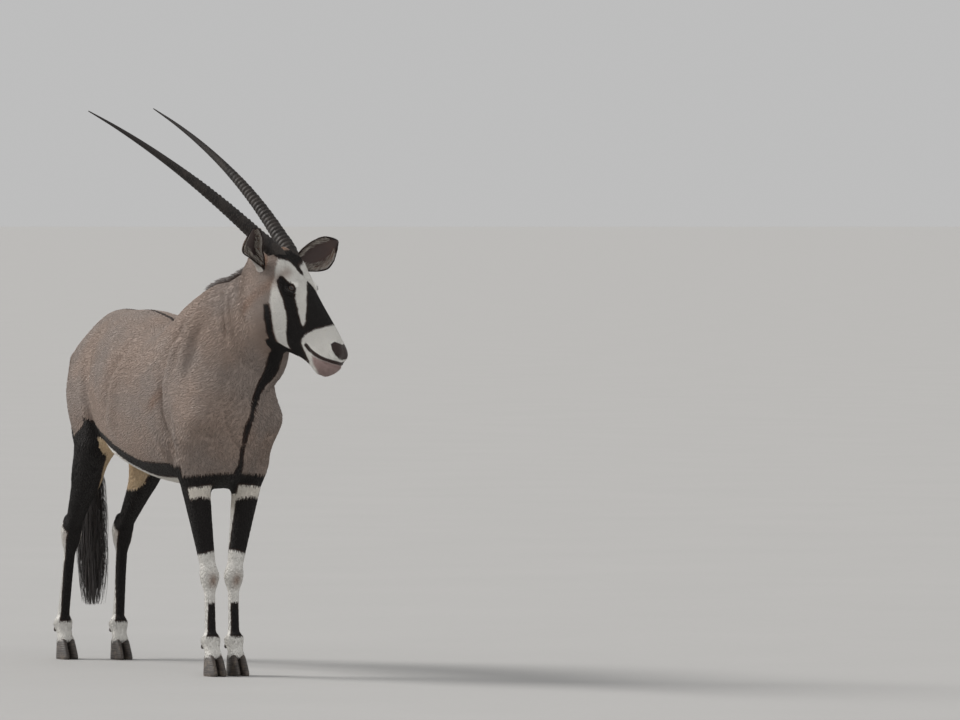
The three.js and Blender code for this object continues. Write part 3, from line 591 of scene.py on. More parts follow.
# Folds and muscles of the right side, mirrored to the left: knots, height, half width and the lean of a
# step, where a positive lean raises what lies ahead of the line and lowers what lies behind it
FORMS = [
    ([(500, -8, 1200), (519, -24, 1176), (547, -42, 1130), (567, -50, 1085), (582, -50, 1040)], 5, 9, 14),
    (
        [(416, -80, 1165), (410, -110, 1110), (398, -137, 1052), (362, -155, 1000), (326, -158, 930)],
        0, 18, 15,
    ),
    ([(326, -158, 930), (325, -158, 881), (339, -144, 770), (392, -138, 690)], 0, 16, 13),
    ([(470, -96, 1120), (455, -125, 1040), (452, -130, 960), (470, -125, 880)], 0, 16, -9),
    ([(500, -96, 850), (482, -120, 800), (462, -118, 740)], 13, 44, 0),
    ([(400, -150, 830), (412, -140, 740)], 11, 40, 0),
    ([(61, -143, 1048), (49, -177, 986), (-11, -195, 913), (-38, -197, 837), (-89, -184, 768)], 0, 26, 12),
    ([(-100, -150, 1010), (-190, -160, 985), (-250, -160, 960)], -11, 48, 0),
    ([(-330, -118, 1072), (-352, -128, 1062)], 15, 34, 0),
    ([(-372, -140, 1010), (-330, -165, 900), (-312, -160, 800), (-330, -140, 715)], 0, 20, -10),
    ([(-560, -112, 980), (-545, -142, 840), (-530, -128, 690), (-548, -112, 590)], -10, 15, 0),
    ([(-450, -168, 900), (-440, -170, 780)], 8, 60, 0),
    ([(-470, -112, 600), (-540, -104, 520), (-585, -100, 462)], -7, 9, 0),
    ([(-250, -100, 690), (-160, -130, 665), (-40, -140, 640)], 5, 22, 0),
]


# The fold of the turned neck and the shoulder that it uncovers show on the right alone
ONE_SIDED = (0, 4, 5)


# Heights of the forms in millimetres, at points of the skin
def form_heights(p):
    mirrored = np.column_stack([p[:, 0], -np.abs(p[:, 1]), p[:, 2]])
    heights = np.zeros(len(p))
    for place, (knots, height, width, lean) in enumerate(FORMS):
        q = p if place in ONE_SIDED else mirrored
        knots = np.array(knots, float)
        gap = np.full(len(q), 1e3)
        ahead = np.zeros(len(q))
        share = np.zeros(len(q))
        for i, (a, b) in enumerate(zip(knots[:-1], knots[1:])):
            way = b - a
            t = np.clip((q - a) @ way / (way @ way), 0, 1)
            off = q - a - t[:, None] * way
            found = length_of(off)
            closer = found < gap
            gap = np.where(closer, found, gap)
            side = unit(np.cross(way, [0, -1, 0]))
            ahead = np.where(closer, off @ side, ahead)
            share = np.where(closer, (i + t) / (len(knots) - 1), share)
        fade = np.sin(np.clip(share, 0.02, 0.98) * math.pi) ** 0.6
        heights += height * bell(gap, 0, width)
        heights += lean * (-ahead / width) * np.exp(0.5 - (gap / width) ** 2 / 2) * fade
    return heights


def new_object(name, data):
    made = bpy.data.objects.new(name, data)
    bpy.context.scene.collection.objects.link(made)
    return made


BODY_CELL = 7.0
FLESH_BOX = np.array([[-760.0, -290, 34], [960.0, 300, 1400]])
points, quads = net(flesh_field, *FLESH_BOX, BODY_CELL)
points = settled(flesh_field, points, 2, 3)

# The head's and the lower legs' parts of the skin are cut finer, and those round the eyes, nose and mouth
# finer still
skin_mesh = bpy.data.meshes.new("skin")
skin_mesh.from_pydata(points.tolist(), [], quads.tolist())
work = bmesh.new()
work.from_mesh(skin_mesh)


def positions(bm):
    return np.array([v.co[:] for v in bm.verts])


def move_to(bm, spots):
    for vertex, spot in zip(bm.verts, spots):
        vertex.co = spot


def refine(bm, wanted):
    chosen = wanted(positions(bm))
    bm.verts.ensure_lookup_table()
    edges = [e for e in bm.edges if chosen[e.verts[0].index] and chosen[e.verts[1].index]]
    bmesh.ops.subdivide_edges(bm, edges=edges, cuts=1, use_grid_fill=True)
    bm.verts.index_update()


def on_face(p):
    return (to_nearer_eye(p) < 40) | (in_head(p)[:, 0] > MOUTH_BACK)


FINE_LEGS_Z = 440
refine(work, lambda p: (ahead_of_head_base(p) > -10) | ((p[:, 2] < FINE_LEGS_Z) & (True)))
refine(work, on_face)
bmesh.ops.triangulate(work, faces=[f for f in work.faces if len(f.verts) > 4])
points = positions(work)
heady = ahead_of_head_base(points) > -30
points[heady] = settled(detailed_field, points[heady], 4, 2.5)
low = points[:, 2] < FINE_LEGS_Z + 20
points[low] = settled(flesh_field, points[low], 2, 2.0)
move_to(work, points)
work.normal_update()
rise = form_heights(points) * ~heady
points += np.array([v.normal[:] for v in work.verts]) * rise[:, None]
move_to(work, points)
work.to_mesh(skin_mesh)
work.free()
print("skin", len(skin_mesh.vertices), len(skin_mesh.polygons))

# Surfaces from rows of points


def object_from(name, verts, faces):
    mesh = bpy.data.meshes.new(name)
    mesh.from_pydata(metres(verts).tolist(), [], [list(map(int, face)) for face in faces])
    mesh.validate()
    mesh.shade_smooth()
    return new_object(name, mesh)


# Closed rings of points, one after another, with a fan at both ends
def lofted(rings):
    rings = np.asarray(rings)
    count, sides = rings.shape[:2]
    verts = rings.reshape(-1, 3)
    k = np.arange(sides)
    after = (k + 1) % sides
    faces = []
    for i in range(count - 1):
        a, b = i * sides, (i + 1) * sides
        faces += np.stack([a + k, a + after, b + after, b + k], 1).tolist()
    ends = np.stack([rings[0].mean(0), rings[-1].mean(0)])
    verts = np.concatenate([verts, ends])
    first, final = count * sides, count * sides + 1
    faces += np.stack([np.full(sides, first), after, k], 1).tolist()
    low = (count - 1) * sides
    faces += np.stack([np.full(sides, final), low + k, low + after], 1).tolist()
    return verts, faces


def ring(centre, axes, half_width, half_depth, sides):
    a = np.arange(sides) * 2 * math.pi / sides
    across = np.outer(np.sin(a) * half_width, axes[1]) + np.outer(np.cos(a) * half_depth, axes[2])
    return centre + across


# Horns: long, almost straight, ringed over the lower part and smooth to the tip
HORN_LENGTH = 1000
HORN_SPREAD = 41
HORN_BOW = 34
HORN_SPLAY = 24
HORN_BASE_RADIUS = 26
HORN_TIP_RADIUS = 2.2
HORN_SIDES = 40
HORN_FLUTES = 9
RING_HEIGHT = 2.6
RING_SHARE = 0.72
RINGED_SHARE = 0.62
HORN_RINGS = 31
HORN_WAYS = {-1: (-0.7, -0.165, -0.214), 1: (-0.72, 0.146, -0.2)}


def horn_curve(side):
    base = on_head(2, side * HORN_SPREAD, 4)
    along = np.array(HORN_WAYS[side]) @ HEAD * HORN_LENGTH
    bow = axes_of(along, HEAD[2])[2] * HORN_BOW + HEAD[1] * side * HORN_SPLAY
    knots = [on_head(26, side * (HORN_SPREAD - 5), -24)]
    knots += [base + along * t + bow * 4 * t * (1 - t) for t in np.linspace(0, 1, 9)]
    return curve_through(knots)


def horn(side):
    curve = horn_curve(side)
    stations = np.concatenate([np.linspace(0, RINGED_SHARE, 300), np.linspace(RINGED_SHARE, 1, 40)[1:]])
    centres, ways = curve(stations)
    rings = []
    angle = np.arange(HORN_SIDES) * 2 * math.pi / HORN_SIDES
    wander = RANDOM.normal(0, 0.12, HORN_RINGS + 4)
    for t, centre, way in zip(stations, centres, ways):
        radius = mix(HORN_BASE_RADIUS, HORN_TIP_RADIUS, t**1.12)
        place = (t - 0.05) / (RINGED_SHARE - 0.05) * HORN_RINGS
        number = int(np.clip(place, 0, HORN_RINGS + 2))
        shift = wander[number]
        saw = (place + shift * 0.3) % 1
        swell = math.sin(math.pi * min(saw / RING_SHARE, 1)) ** 0.7 if 0 < saw < RING_SHARE else 0
        fade = step(0.02, 0.09, t) * (1 - step(RINGED_SHARE - 0.22, RINGED_SHARE, t))
        ridge = RING_HEIGHT * swell * fade * (0.8 + 0.2 * math.sin(number * 2.3))
        front = 0.75 + 0.25 * np.cos(angle)
        flute = 0.25 * np.cos(angle * HORN_FLUTES + 0.6 * math.sin(t * 9)) * (1 - step(0.7, 0.95, t))
        reach = radius - 0.6 + ridge * front + flute
        axes = axes_of(way, HEAD[2])
        beside = np.outer(np.sin(angle) * reach * 0.94, axes[1])
        rings.append(centre + (beside + np.outer(np.cos(angle) * reach, axes[2])))
    return lofted(rings)


# Ears: a cupped leaf whose walls are a few millimetres thick
EAR_LENGTH = 195
EAR_ROOT_DEPTH = 26
EAR_WAYS = {-1: (-0.3, -0.768, 0.565), 1: (-0.07, 0.615, 0.785)}
EAR_FACES = {-1: (0.8, -0.1, 0.45), 1: (0.5, -0.35, 0.75)}
EAR_ROOTS = {-1: (2, -68, -52), 1: (20, 68, -52)}
ear_half_width = profile([
    (0, 15), (0.1, 15), (0.2, 17), (0.34, 26), (0.5, 41),
    (0.62, 49), (0.72, 50), (0.83, 42), (0.93, 23), (1, 4),
])
ear_half_depth = profile([(0, 15), (0.16, 18), (0.34, 26), (0.56, 24), (0.76, 17), (0.91, 8), (1, 2)])
EAR_ROWS = 36
EAR_COLUMNS = 26
EAR_WALL = 3.4
# The outer margin of an ear bulges more than the inner one, most of all near the tip
EAR_SKEW = 0.22
EAR_BREADTH = {-1: 0.84, 1: 1.0}


def ear_place(side):
    root = on_head(*EAR_ROOTS[side])
    way = unit(np.array(EAR_WAYS[side]) @ HEAD)
    facing = np.array(EAR_FACES[side]) @ HEAD
    axes = axes_of(way, facing)
    return root - way * EAR_ROOT_DEPTH, axes


# A point of the ear: share along, share across from -1 to 1, and 0 outside or 1 inside
def ear_point(side, t, s, inner):
    start, axes = ear_place(side)
    wrap = mix(3.1, 1.62, step(0.08, 0.42, t))
    angle = s * wrap
    wall = inner * EAR_WALL * mix(1.0, 0.7, t)
    half = ear_half_width(t)[..., 0] * EAR_BREADTH[side] - wall
    depth = ear_half_depth(t)[..., 0] - wall
    lean = 10 * np.sin(math.pi * t) - 6 * t**3
    skew = EAR_SKEW * bell(t, 0.74, 0.24)
    half = half * (1 - side * skew * np.sign(np.sin(angle)))
    curl = 1 + 0.06 * np.sin(t * 7 + s * 2)
    forward = start + np.multiply.outer(t * (EAR_LENGTH + EAR_ROOT_DEPTH), axes[0])
    across = np.multiply.outer(np.sin(angle) * half * curl, axes[1])
    back = np.multiply.outer(-np.cos(angle) * depth - lean * 0.4, axes[2])
    return forward + across + back


def ear_shell(side):
    t, s = np.meshgrid(np.linspace(0, 1, EAR_ROWS), np.linspace(-1, 1, EAR_COLUMNS), indexing="ij")
    outer, inner = ear_point(side, t, s, 0), ear_point(side, t, s, 1)
    verts = np.concatenate([outer.reshape(-1, 3), inner.reshape(-1, 3)])
    layer = EAR_ROWS * EAR_COLUMNS
    number = np.arange(layer).reshape(EAR_ROWS, EAR_COLUMNS)
    a, b, c, d = number[:-1, :-1], number[1:, :-1], number[1:, 1:], number[:-1, 1:]
    outside = np.stack([a, d, c, b], -1).reshape(-1, 4)
    inside = np.stack([a, b, c, d], -1).reshape(-1, 4) + layer
    border = np.concatenate([number[0, :], number[1:, -1], number[-1, -2::-1], number[-2:0:-1, 0]])
    following = np.roll(border, -1)
    rim = np.stack([following, border, border + layer, following + layer], 1)
    return verts, np.concatenate([outside, inside, rim])


# Claws and dewclaws
CLAW_LENGTH = 86
CLAW_HALF = 17
CLAW_INNER_SHARE = 0.62
CLAW_SIDES = 44
CLEFT_HALF = 2.5
CLAW_LEVELS = profile([(0, 1, 1), (0.16, 1, 1.02), (0.6, 0.82, 0.92), (1, 0.62, 0.8), (1.12, 0.5, 0.62)])


def claw(j, side):
    coronet = j["coronet"]
    angle = np.arange(CLAW_SIDES) * 2 * math.pi / CLAW_SIDES
    rings = []
    for share in np.concatenate([[0, 0, 0.012, 0.035], np.linspace(0.07, 1.12, 40)]):
        long, wide = CLAW_LEVELS(np.array(share))
        inset = 1 - 0.5 * (len(rings) == 0) - 0.025 * max(0, 1 - share / 0.035)
        growth = 0.35 * math.sin(share * 62) * step(0.05, 0.2, share) * (1 - step(0.8, 1, share))
        along = np.cos(angle) * (CLAW_LENGTH * 0.5 * long + growth) * inset
        across = np.sin(angle) * (CLAW_HALF * wide + growth) * (1 - 0.3 * np.cos(angle)) * inset
        flat = np.maximum(across, -CLAW_HALF * CLAW_INNER_SHARE)
        middle = CLEFT_HALF + CLAW_HALF * CLAW_INNER_SHARE + np.maximum(along, 0) * 0.05
        heel_x = coronet[0] - 27 + CLAW_LENGTH * long / 2 + share * 4
        height = np.full(CLAW_SIDES, share * CORONET_Z)
        rings.append(np.stack([heel_x + along, coronet[1] + side * (middle + flat), height], 1))
    return lofted(rings)


def dewclaw(j, side):
    root = np.array(j["fetlock"], float) + [-12, side * 10, -4]
    tip = np.array(j["fetlock"], float) + [-33, side * 15, -30]
    axes = axes_of(tip - root, [-1, 0, 0])
    shape = profile([(0, 8.5), (0.6, 8), (0.85, 6), (1, 1.5)])
    rings = []
    for share in np.linspace(0, 1, 14):
        radius = shape(np.array(share))[0] + 0.25 * math.sin(share * 30)
        rings.append(ring(mix(root, tip, share), axes, radius, radius * 0.75, 18))
    return lofted(rings)


# Eyeballs with a bulging cornea
EYE_RINGS = 56
EYE_SIDES = 64


def eyeball(side):
    axes = eye_axes(side)
    rings = []
    tilts = []
    for tilt in np.linspace(0.03, math.pi - 0.03, EYE_RINGS):
        bulge = 1.3 * math.exp(-((tilt / 0.55) ** 2)) - 0.35 * math.exp(-(((tilt - 0.72) / 0.14) ** 2))
        radius = EYE_RADIUS - 0.2 + bulge
        centre = EYE_SPOTS[side] + axes[0] * radius * math.cos(tilt)
        half = radius * math.sin(tilt)
        rings.append(ring(centre, axes, half, half, EYE_SIDES))
        tilts += [tilt] * EYE_SIDES
    verts, faces = lofted(rings)
    return verts, faces, np.array(tilts + [0, math.pi])


def name_of(thing, side):
    return f"{thing}_{'left' if side > 0 else 'right'}"


# Markings: how deep a point lies in the black and in the white, in millimetres, and shares of other tints.
# The face is drawn on its flat side view from the right, and mirrored to the left.
PICTURE = np.stack([picture_right, picture_up]) @ HEAD.T
FOREHEAD = [
    (-33, 33), (72, 33), (99, -25), (88, -46), (66, -66),
    (50, -54), (30, -30), (12, -17), (-9, -14), (-27, -3),
]
NOSE_PATCH = [
    (72, -80), (71, -102), (71, -122), (71, -149), (69, -180), (67, -207), (61, -219), (37, -218),
    (37, -257), (56, -257), (72, -241), (99, -228), (130, -220), (167, -212), (265, -199), (265, -63),
    (115, -63), (84, -70),
]
EYE_STRIPE = [
    (-11, -62), (3, -67), (14, -81), (31, -89), (40, -104), (38, -118), (36, -133), (43, -160),
    (49, -183), (55, -211), (62, -220), (76, -230), (68, -243), (57, -257), (55, -272), (67, -298),
    (77, -323), (53, -321), (29, -307), (14, -299), (23, -290), (14, -272), (8, -241), (10, -211),
    (8, -176), (-2, -137), (-15, -106), (-20, -79),
]
JAW_LINE = [
    (-62, -150), (-44, -148), (-38, -170), (-35, -193), (-30, -233), (-18, -267), (2, -294), (29, -309),
    (53, -320), (79, -324), (79, -365), (0, -365), (-40, -320), (-37, -282), (-40, -267), (-52, -233),
    (-59, -193),
]
WHITE_FACE = [
    (-15, -11), (-22, -40), (-25, -63), (-37, -102), (-40, -141), (-36, -180), (-30, -218), (-23, -249),
    (-7, -276), (16, -296), (76, -323), (91, -392), (285, -392), (285, 33), (68, 33),
]
MOUTH_MARK = [(68, -274), (80, -290), (93, -301), (109, -312), (126, -320), (149, -327), (175, -333)]
NOSE_PAD = [
    (143, -273), (155, -265), (177, -273), (194, -283), (212, -293), (246, -300), (207, -335), (184, -323),
    (170, -320), (157, -308), (147, -291),
]
LIP = [(87, -309), (115, -321), (149, -332), (180, -336), (192, -373), (115, -373), (91, -334)]

# Where the black under the jaw ends, along the head
JAW_END = 286

# The throat stripe from under the jaw to the chest: place and half width
THROAT_STRIPE = [
    ((667, 78, 1000), 27), ((648, 77, 972), 25), ((631, 74, 947), 24), ((611, 67, 922), 20),
    ((601, 50, 897), 15), ((600, 34, 860), 12), ((612, 16, 822), 12), ((612, 2, 775), 12),
    ((600, -4, 738), 11), ((578, -2, 701), 8), ((566, 0, 676), 8), ((539, 5, 644), 14),
    ((515, 0, 625), 18), ((470, 0, 585), 26), ((380, 0, 575), 30),
]
# Middle height and half width of the black flank stripe, by x
flank_line = profile([
    (-352, 760, 30), (-300, 745, 26), (-220, 726, 23), (-137, 706, 22), (-109, 692, 22), (-37, 666, 23),
    (20, 648, 24), (100, 633, 24), (227, 631, 24), (320, 628, 22), (400, 630, 22),
])
# Top of the black on the outside of the thigh by x, and where it ends towards the inside by z
thigh_top = profile([(-640, 790), (-560, 755), (-480, 735), (-430, 728), (-390, 742), (-345, 775)])
thigh_inner = profile([(470, -200), (520, -60), (545, 52), (600, 78), (700, 98), (780, 112)])


def polygon_depth(u, v, corners):
    corners = np.array(corners, float)
    gap = polyline_gap(u, v, np.vstack([corners, corners[:1]]))
    inside = np.zeros(len(u), bool)
    for (ax, ay), (bx, by) in zip(corners, np.roll(corners, -1, axis=0)):
        crosses = (ay > v) != (by > v)
        at = ax + (v - ay) / (by - ay if by != ay else 1) * (bx - ax)
        inside ^= crosses & (u < at)
    return np.where(inside, gap, -gap)


def stripe_depth(p, stripe):
    found = np.full(len(p), -1e3)
    for (a, wide_a), (b, wide_b) in zip(stripe[:-1], stripe[1:]):
        a, b = np.array(a, float), np.array(b, float)
        t = np.clip((p - a) @ (b - a) / ((b - a) @ (b - a)), 0, 1)
        found = np.maximum(found, mix(wide_a, wide_b, t) - length_of(p - a - t[:, None] * (b - a)))
    return found


def leg_middle(j, z):
    names = ["elbow", "knee"] if "knee" in j else ["stifle", "hock"]
    rows = sorted((j[name][2], j[name][0], j[name][1]) for name in [*names, "fetlock", "coronet"])
    at = profile(rows)(z)
    return at[:, 0], at[:, 1]


def within(low, high, value):
    return np.minimum(value - low, high - value)


# Heights where the black and the white of the legs begin and end
FOREARM_LOW = 384
FOREARM_TOP = 540
BAND_LOW = 594
BAND_TOP = 640
FORE_WHITE_TOP = 588
KNEE_SPOT_Z = 297
CANNON_BLACK = (122, 228)
HIND_STRIPE = (122, 470)
THIGH_LOW = 424
HIND_WHITE_TOP = 470
HOCK_SPOT_Z = 400


# How far points of a leg lie ahead of its middle, and to its outside
def about_leg(j, p):
    middle_x, middle_y = leg_middle(j, p[:, 2])
    return p[:, 0] - middle_x, j["side"] * (p[:, 1] - middle_y)


def fore_marks(j, p):
    z = p[:, 2]
    front, outer = about_leg(j, p)
    slant = 0.25 * outer
    forearm = within(FOREARM_LOW - slant, FOREARM_TOP + 0.35 * front, z)
    behind = np.minimum(within(FOREARM_LOW, BAND_TOP, z), 6 - front + 0.5 * outer)
    forearm = np.maximum(forearm, behind)
    forearm = np.minimum(forearm, outer + 26 + 0.5 * front)
    cannon = np.minimum(within(*CANNON_BLACK, z), (1.2 * front - np.abs(outer)) * 0.7)
    band = np.minimum(within(BAND_LOW, BAND_TOP, z), outer + 60)
    black = np.maximum(np.maximum(forearm, cannon), np.minimum(band, 40))
    white = FORE_WHITE_TOP - z
    knee = bell(z, KNEE_SPOT_Z, 22) * step(4, 22, front) * bell(outer, 0, 15)
    return black, white, knee


def hind_marks(j, p):
    x, y, z = p.T
    front, outer = about_leg(j, p)
    thigh = np.minimum(thigh_top(x)[:, 0] - z, j["side"] * y - thigh_inner(z)[:, 0])
    thigh = np.minimum(thigh, z - (THIGH_LOW - 0.55 * front))
    stripe = np.minimum(within(*HIND_STRIPE, z), (0.9 * front - np.abs(outer) + 2) * 0.7)
    black = np.maximum(thigh, np.minimum(stripe, 30))
    white = np.maximum(HIND_WHITE_TOP - z, np.minimum(760 - z, thigh_inner(z)[:, 0] - j["side"] * y))
    knee = 0.5 * bell(z, HOCK_SPOT_Z, 30) * step(0, 15, front)
    return black, white, knee


def markings(p):
    h = in_head(p)
    mirrored = np.column_stack([h[:, 0], -np.abs(h[:, 1]), h[:, 2]])
    u, v = (mirrored @ PICTURE.T).T
    depth = h[:, 2] + HEAD_AXIS_DROP
    under = step(0.9, 0.98, -depth / np.hypot(h[:, 1], depth))
    under = under * step(-190, -179, h[:, 2]) * step(105, 130, h[:, 0]) * step(2, 14, neck_field(p))
    headness = ahead_of_head_base(p) + 46
    face = [polygon_depth(u, v, shape) for shape in (FOREHEAD, NOSE_PATCH, EYE_STRIPE, JAW_LINE)]
    face_black = np.max(face, axis=0)
    lower_black = np.minimum(JAW_END - h[:, 0], 60)
    face_black = mix(face_black, lower_black, under)
    face_black = np.where(h[:, 0] < -10, np.minimum(face_black, -5), face_black)
    mouth = 5.4 - polyline_gap(u, v, MOUTH_MARK)
    face_black = np.minimum(face_black, headness)
    white_face = mix(polygon_depth(u, v, WHITE_FACE), h[:, 0] - JAW_END, under)
    white = np.minimum(white_face, headness)
    nose = np.minimum(polygon_depth(u, v, NOSE_PAD), h[:, 0] - 300)
    lip = np.minimum(polygon_depth(u, v, LIP), h[:, 0] - 240)

    x, y, z = p.T
    throat = stripe_depth(p, THROAT_STRIPE)
    flank_z, flank_half = flank_line(x).T
    flank = flank_half - np.abs(z - flank_z)
    flank = np.minimum(flank, within(-352, 420, x))
    belly = np.minimum(flank_z - flank_half - z, within(-420, 330, x) + 20)
    belly = np.minimum(belly, z - 480)
    chest = np.minimum(within(596, 634, z + 0.1 * np.abs(y)), x - 380)
    between = np.minimum(np.minimum(625 - z, x - 330), 45 - np.abs(y))
    chest = np.maximum(chest, between)
    chest = np.minimum(chest, z - 560)
    spine_half = 7 + 16 * step(-300, -560, x)
    spine = np.minimum(spine_half - np.abs(y), np.minimum(180 - x, z - 985))
    rump = np.minimum(stripe_depth(p, [((-640, 0, 1000), 26), ((-672, 0, 968), 30)]), 20)
    dock = np.where((x < -640) & (z < 985) & (np.abs(y - 4) < 45) & (z > 200), -670 - x, -99.0)
    black = np.max([face_black, throat, flank, chest, spine, rump, dock], axis=0)
    white = np.maximum(white, belly)
    knee = np.zeros(len(p))
    for j in all_legs:
        fore = j in fore_legs
        top = 600 if fore else 800
        near = (z < top) & (np.sign(y - 1) == j["side"]) & ((x > 250) if fore else (x < -230))
        near &= (x > -665 - (700 - z) * 0.2) & (fore | (x < -318) | (z < 650))
        if not fore:
            near &= z < thigh_top(x)[:, 0] + 30
        leg_black, leg_white, leg_knee = (fore_marks if fore else hind_marks)(j, p[near])
        black[near] = np.maximum(np.where(z[near] > 560, black[near], -99), leg_black)
        white[near] = np.maximum(np.where(z[near] > 560, white[near], -99), leg_white)
        knee[near] = leg_knee

    poll = stripe_depth(p, [(on_head(-30, 0, 0), 40), (on_head(-90, 0, -20), 40)])
    ear_feet = [length_of(p - on_head(-8, side * 62, -40)) for side in SIDES]
    behind_ears = 30 - np.min(ear_feet, axis=0)
    eye_top = 26 - np.hypot(h[:, 0] - 72, np.abs(h[:, 1]) - 68)
    brown = np.clip(np.max([poll / 30, behind_ears / 20, eye_top / 26 * 0.6], axis=0), 0, 1)
    cream = np.where(x < -230, step(500, 560, z) * step(790, 720, z), 0)
    cream += 0.25 * step(640, 560, z) * step(480, 540, z)
    return {
        "black": black,
        "white": white,
        "brown": np.maximum(brown, 0.75 * knee),
        "bare": np.clip(np.maximum(nose, mouth) / 1.5 + 0.5, 0, 1) * (headness > 0),
        "lip": np.clip(lip / 6 + 0.5, 0, 1) * (headness > 0),
        "cream": np.clip(cream, 0, 1),
    }


def give(mesh, values):
    for name, data in values.items():
        mesh.attributes.new(name, "FLOAT", "POINT").data.foreach_set("value", np.asarray(data, np.float32))


# Materials


class Shader:
    def __init__(self, name):
        self.material = bpy.data.materials.new(name)
        self.material.use_nodes = True
        self.tree = self.material.node_tree
        self.tree.nodes.clear()
        self.surface = self.node("ShaderNodeBsdfPrincipled")
        output = self.tree.nodes.new("ShaderNodeOutputMaterial")
        self.tree.links.new(self.surface.outputs[0], output.inputs["Surface"])
        self.place = self.node("ShaderNodeTexCoord").outputs["Object"]

    def node(self, kind, settings=(), **inputs):
        made = self.tree.nodes.new(kind)
        for key, value in dict(settings).items():
            setattr(made, key, value)
        for key, value in inputs.items():
            self.put(made.inputs[int(key[1:])], value)
        return made

    def put(self, socket, value):
        if isinstance(value, bpy.types.NodeSocket):
            self.tree.links.new(value, socket)
        else:
            socket.default_value = value

    def set(self, **inputs):
        for key, value in inputs.items():
            self.put(self.surface.inputs[key.replace("_", " ")], value)

    def value(self, name):
        return self.node("ShaderNodeAttribute", {"attribute_name": name}).outputs["Fac"]

    def math(self, kind, a, b=0.0, c=0.0):
        return self.node("ShaderNodeMath", {"operation": kind}, _0=a, _1=b, _2=c).outputs[0]

    def noise(self, scale, detail=2.0, place=None):
        made = self.node("ShaderNodeTexNoise")
        self.put(made.inputs["Vector"], place or self.place)
        self.put(made.inputs["Scale"], scale)
        self.put(made.inputs["Detail"], detail)
        return made.outputs["Fac"]

    def stretched(self, x, y, z):
        made = self.node("ShaderNodeMapping")
        self.put(made.inputs["Vector"], self.place)
        made.inputs["Scale"].default_value = (x, y, z)
        return made.outputs[0]

    # From 0 to 1 as the value goes from low to high
    def ramp(self, value, low, high):
        made = self.node("ShaderNodeMapRange", {"interpolation_type": "SMOOTHSTEP"})
        for key, given in zip(("Value", "From Min", "From Max"), (value, low, high)):
            self.put(made.inputs[key], given)
        return made.outputs[0]

    def blend(self, share, a, b, kind="MIX"):
        made = self.node("ShaderNodeMix", {"data_type": "RGBA", "blend_type": kind})
        for socket, given in zip((made.inputs[0], made.inputs[6], made.inputs[7]), (share, a, b)):
            self.put(socket, given)
        return made.outputs[2]

    # A tint made lighter or darker by a number
    def toned(self, tint, tone):
        shade = self.node("ShaderNodeCombineColor")
        for i in range(3):
            self.put(shade.inputs[i], tone)
        return self.blend(1.0, tint, shade.outputs[0], "MULTIPLY")

    def bump(self, height, distance, strength=1.0, under=None):
        made = self.node("ShaderNodeBump")
        self.put(made.inputs["Height"], height)
        made.inputs["Distance"].default_value = distance
        made.inputs["Strength"].default_value = strength
        if under:
            self.put(made.inputs["Normal"], under)
        return made.outputs[0]


def colour(r, g, b):
    return (r, g, b, 1)


COAT_GREY = colour(0.268, 0.222, 0.197)
COAT_WARM = colour(0.290, 0.222, 0.185)
WHITE_HAIR = colour(0.76, 0.745, 0.71)
CREAM_HAIR = colour(0.60, 0.46, 0.30)
BROWN_HAIR = colour(0.20, 0.105, 0.062)
BLACK_HAIR = colour(0.009, 0.0075, 0.0075)
BLACK_RIM = colour(0.045, 0.022, 0.015)
NOSE_SKIN = colour(0.030, 0.018, 0.016)
LIP_SKIN = colour(0.36, 0.265, 0.25)
HORN_DARK = colour(0.012, 0.010, 0.0095)
HORN_LIGHT = colour(0.033, 0.027, 0.024)
HORN_STREAK = colour(0.058, 0.048, 0.042)
HORN_TIP = colour(0.022, 0.018, 0.017)
CLAW_DARK = colour(0.028, 0.024, 0.022)
CLAW_LIGHT = colour(0.10, 0.082, 0.07)
DUST = colour(0.26, 0.21, 0.16)
IRIS_DARK = colour(0.022, 0.010, 0.005)
IRIS_LIGHT = colour(0.065, 0.030, 0.012)
PUPIL = colour(0.002, 0.002, 0.003)
IRIS_EDGE = colour(0.006, 0.004, 0.003)
EYE_WHITE = colour(0.020, 0.013, 0.010)
FLOOR_DARK = colour(0.397, 0.394, 0.389)
FLOOR_LIGHT = colour(0.424, 0.420, 0.415)


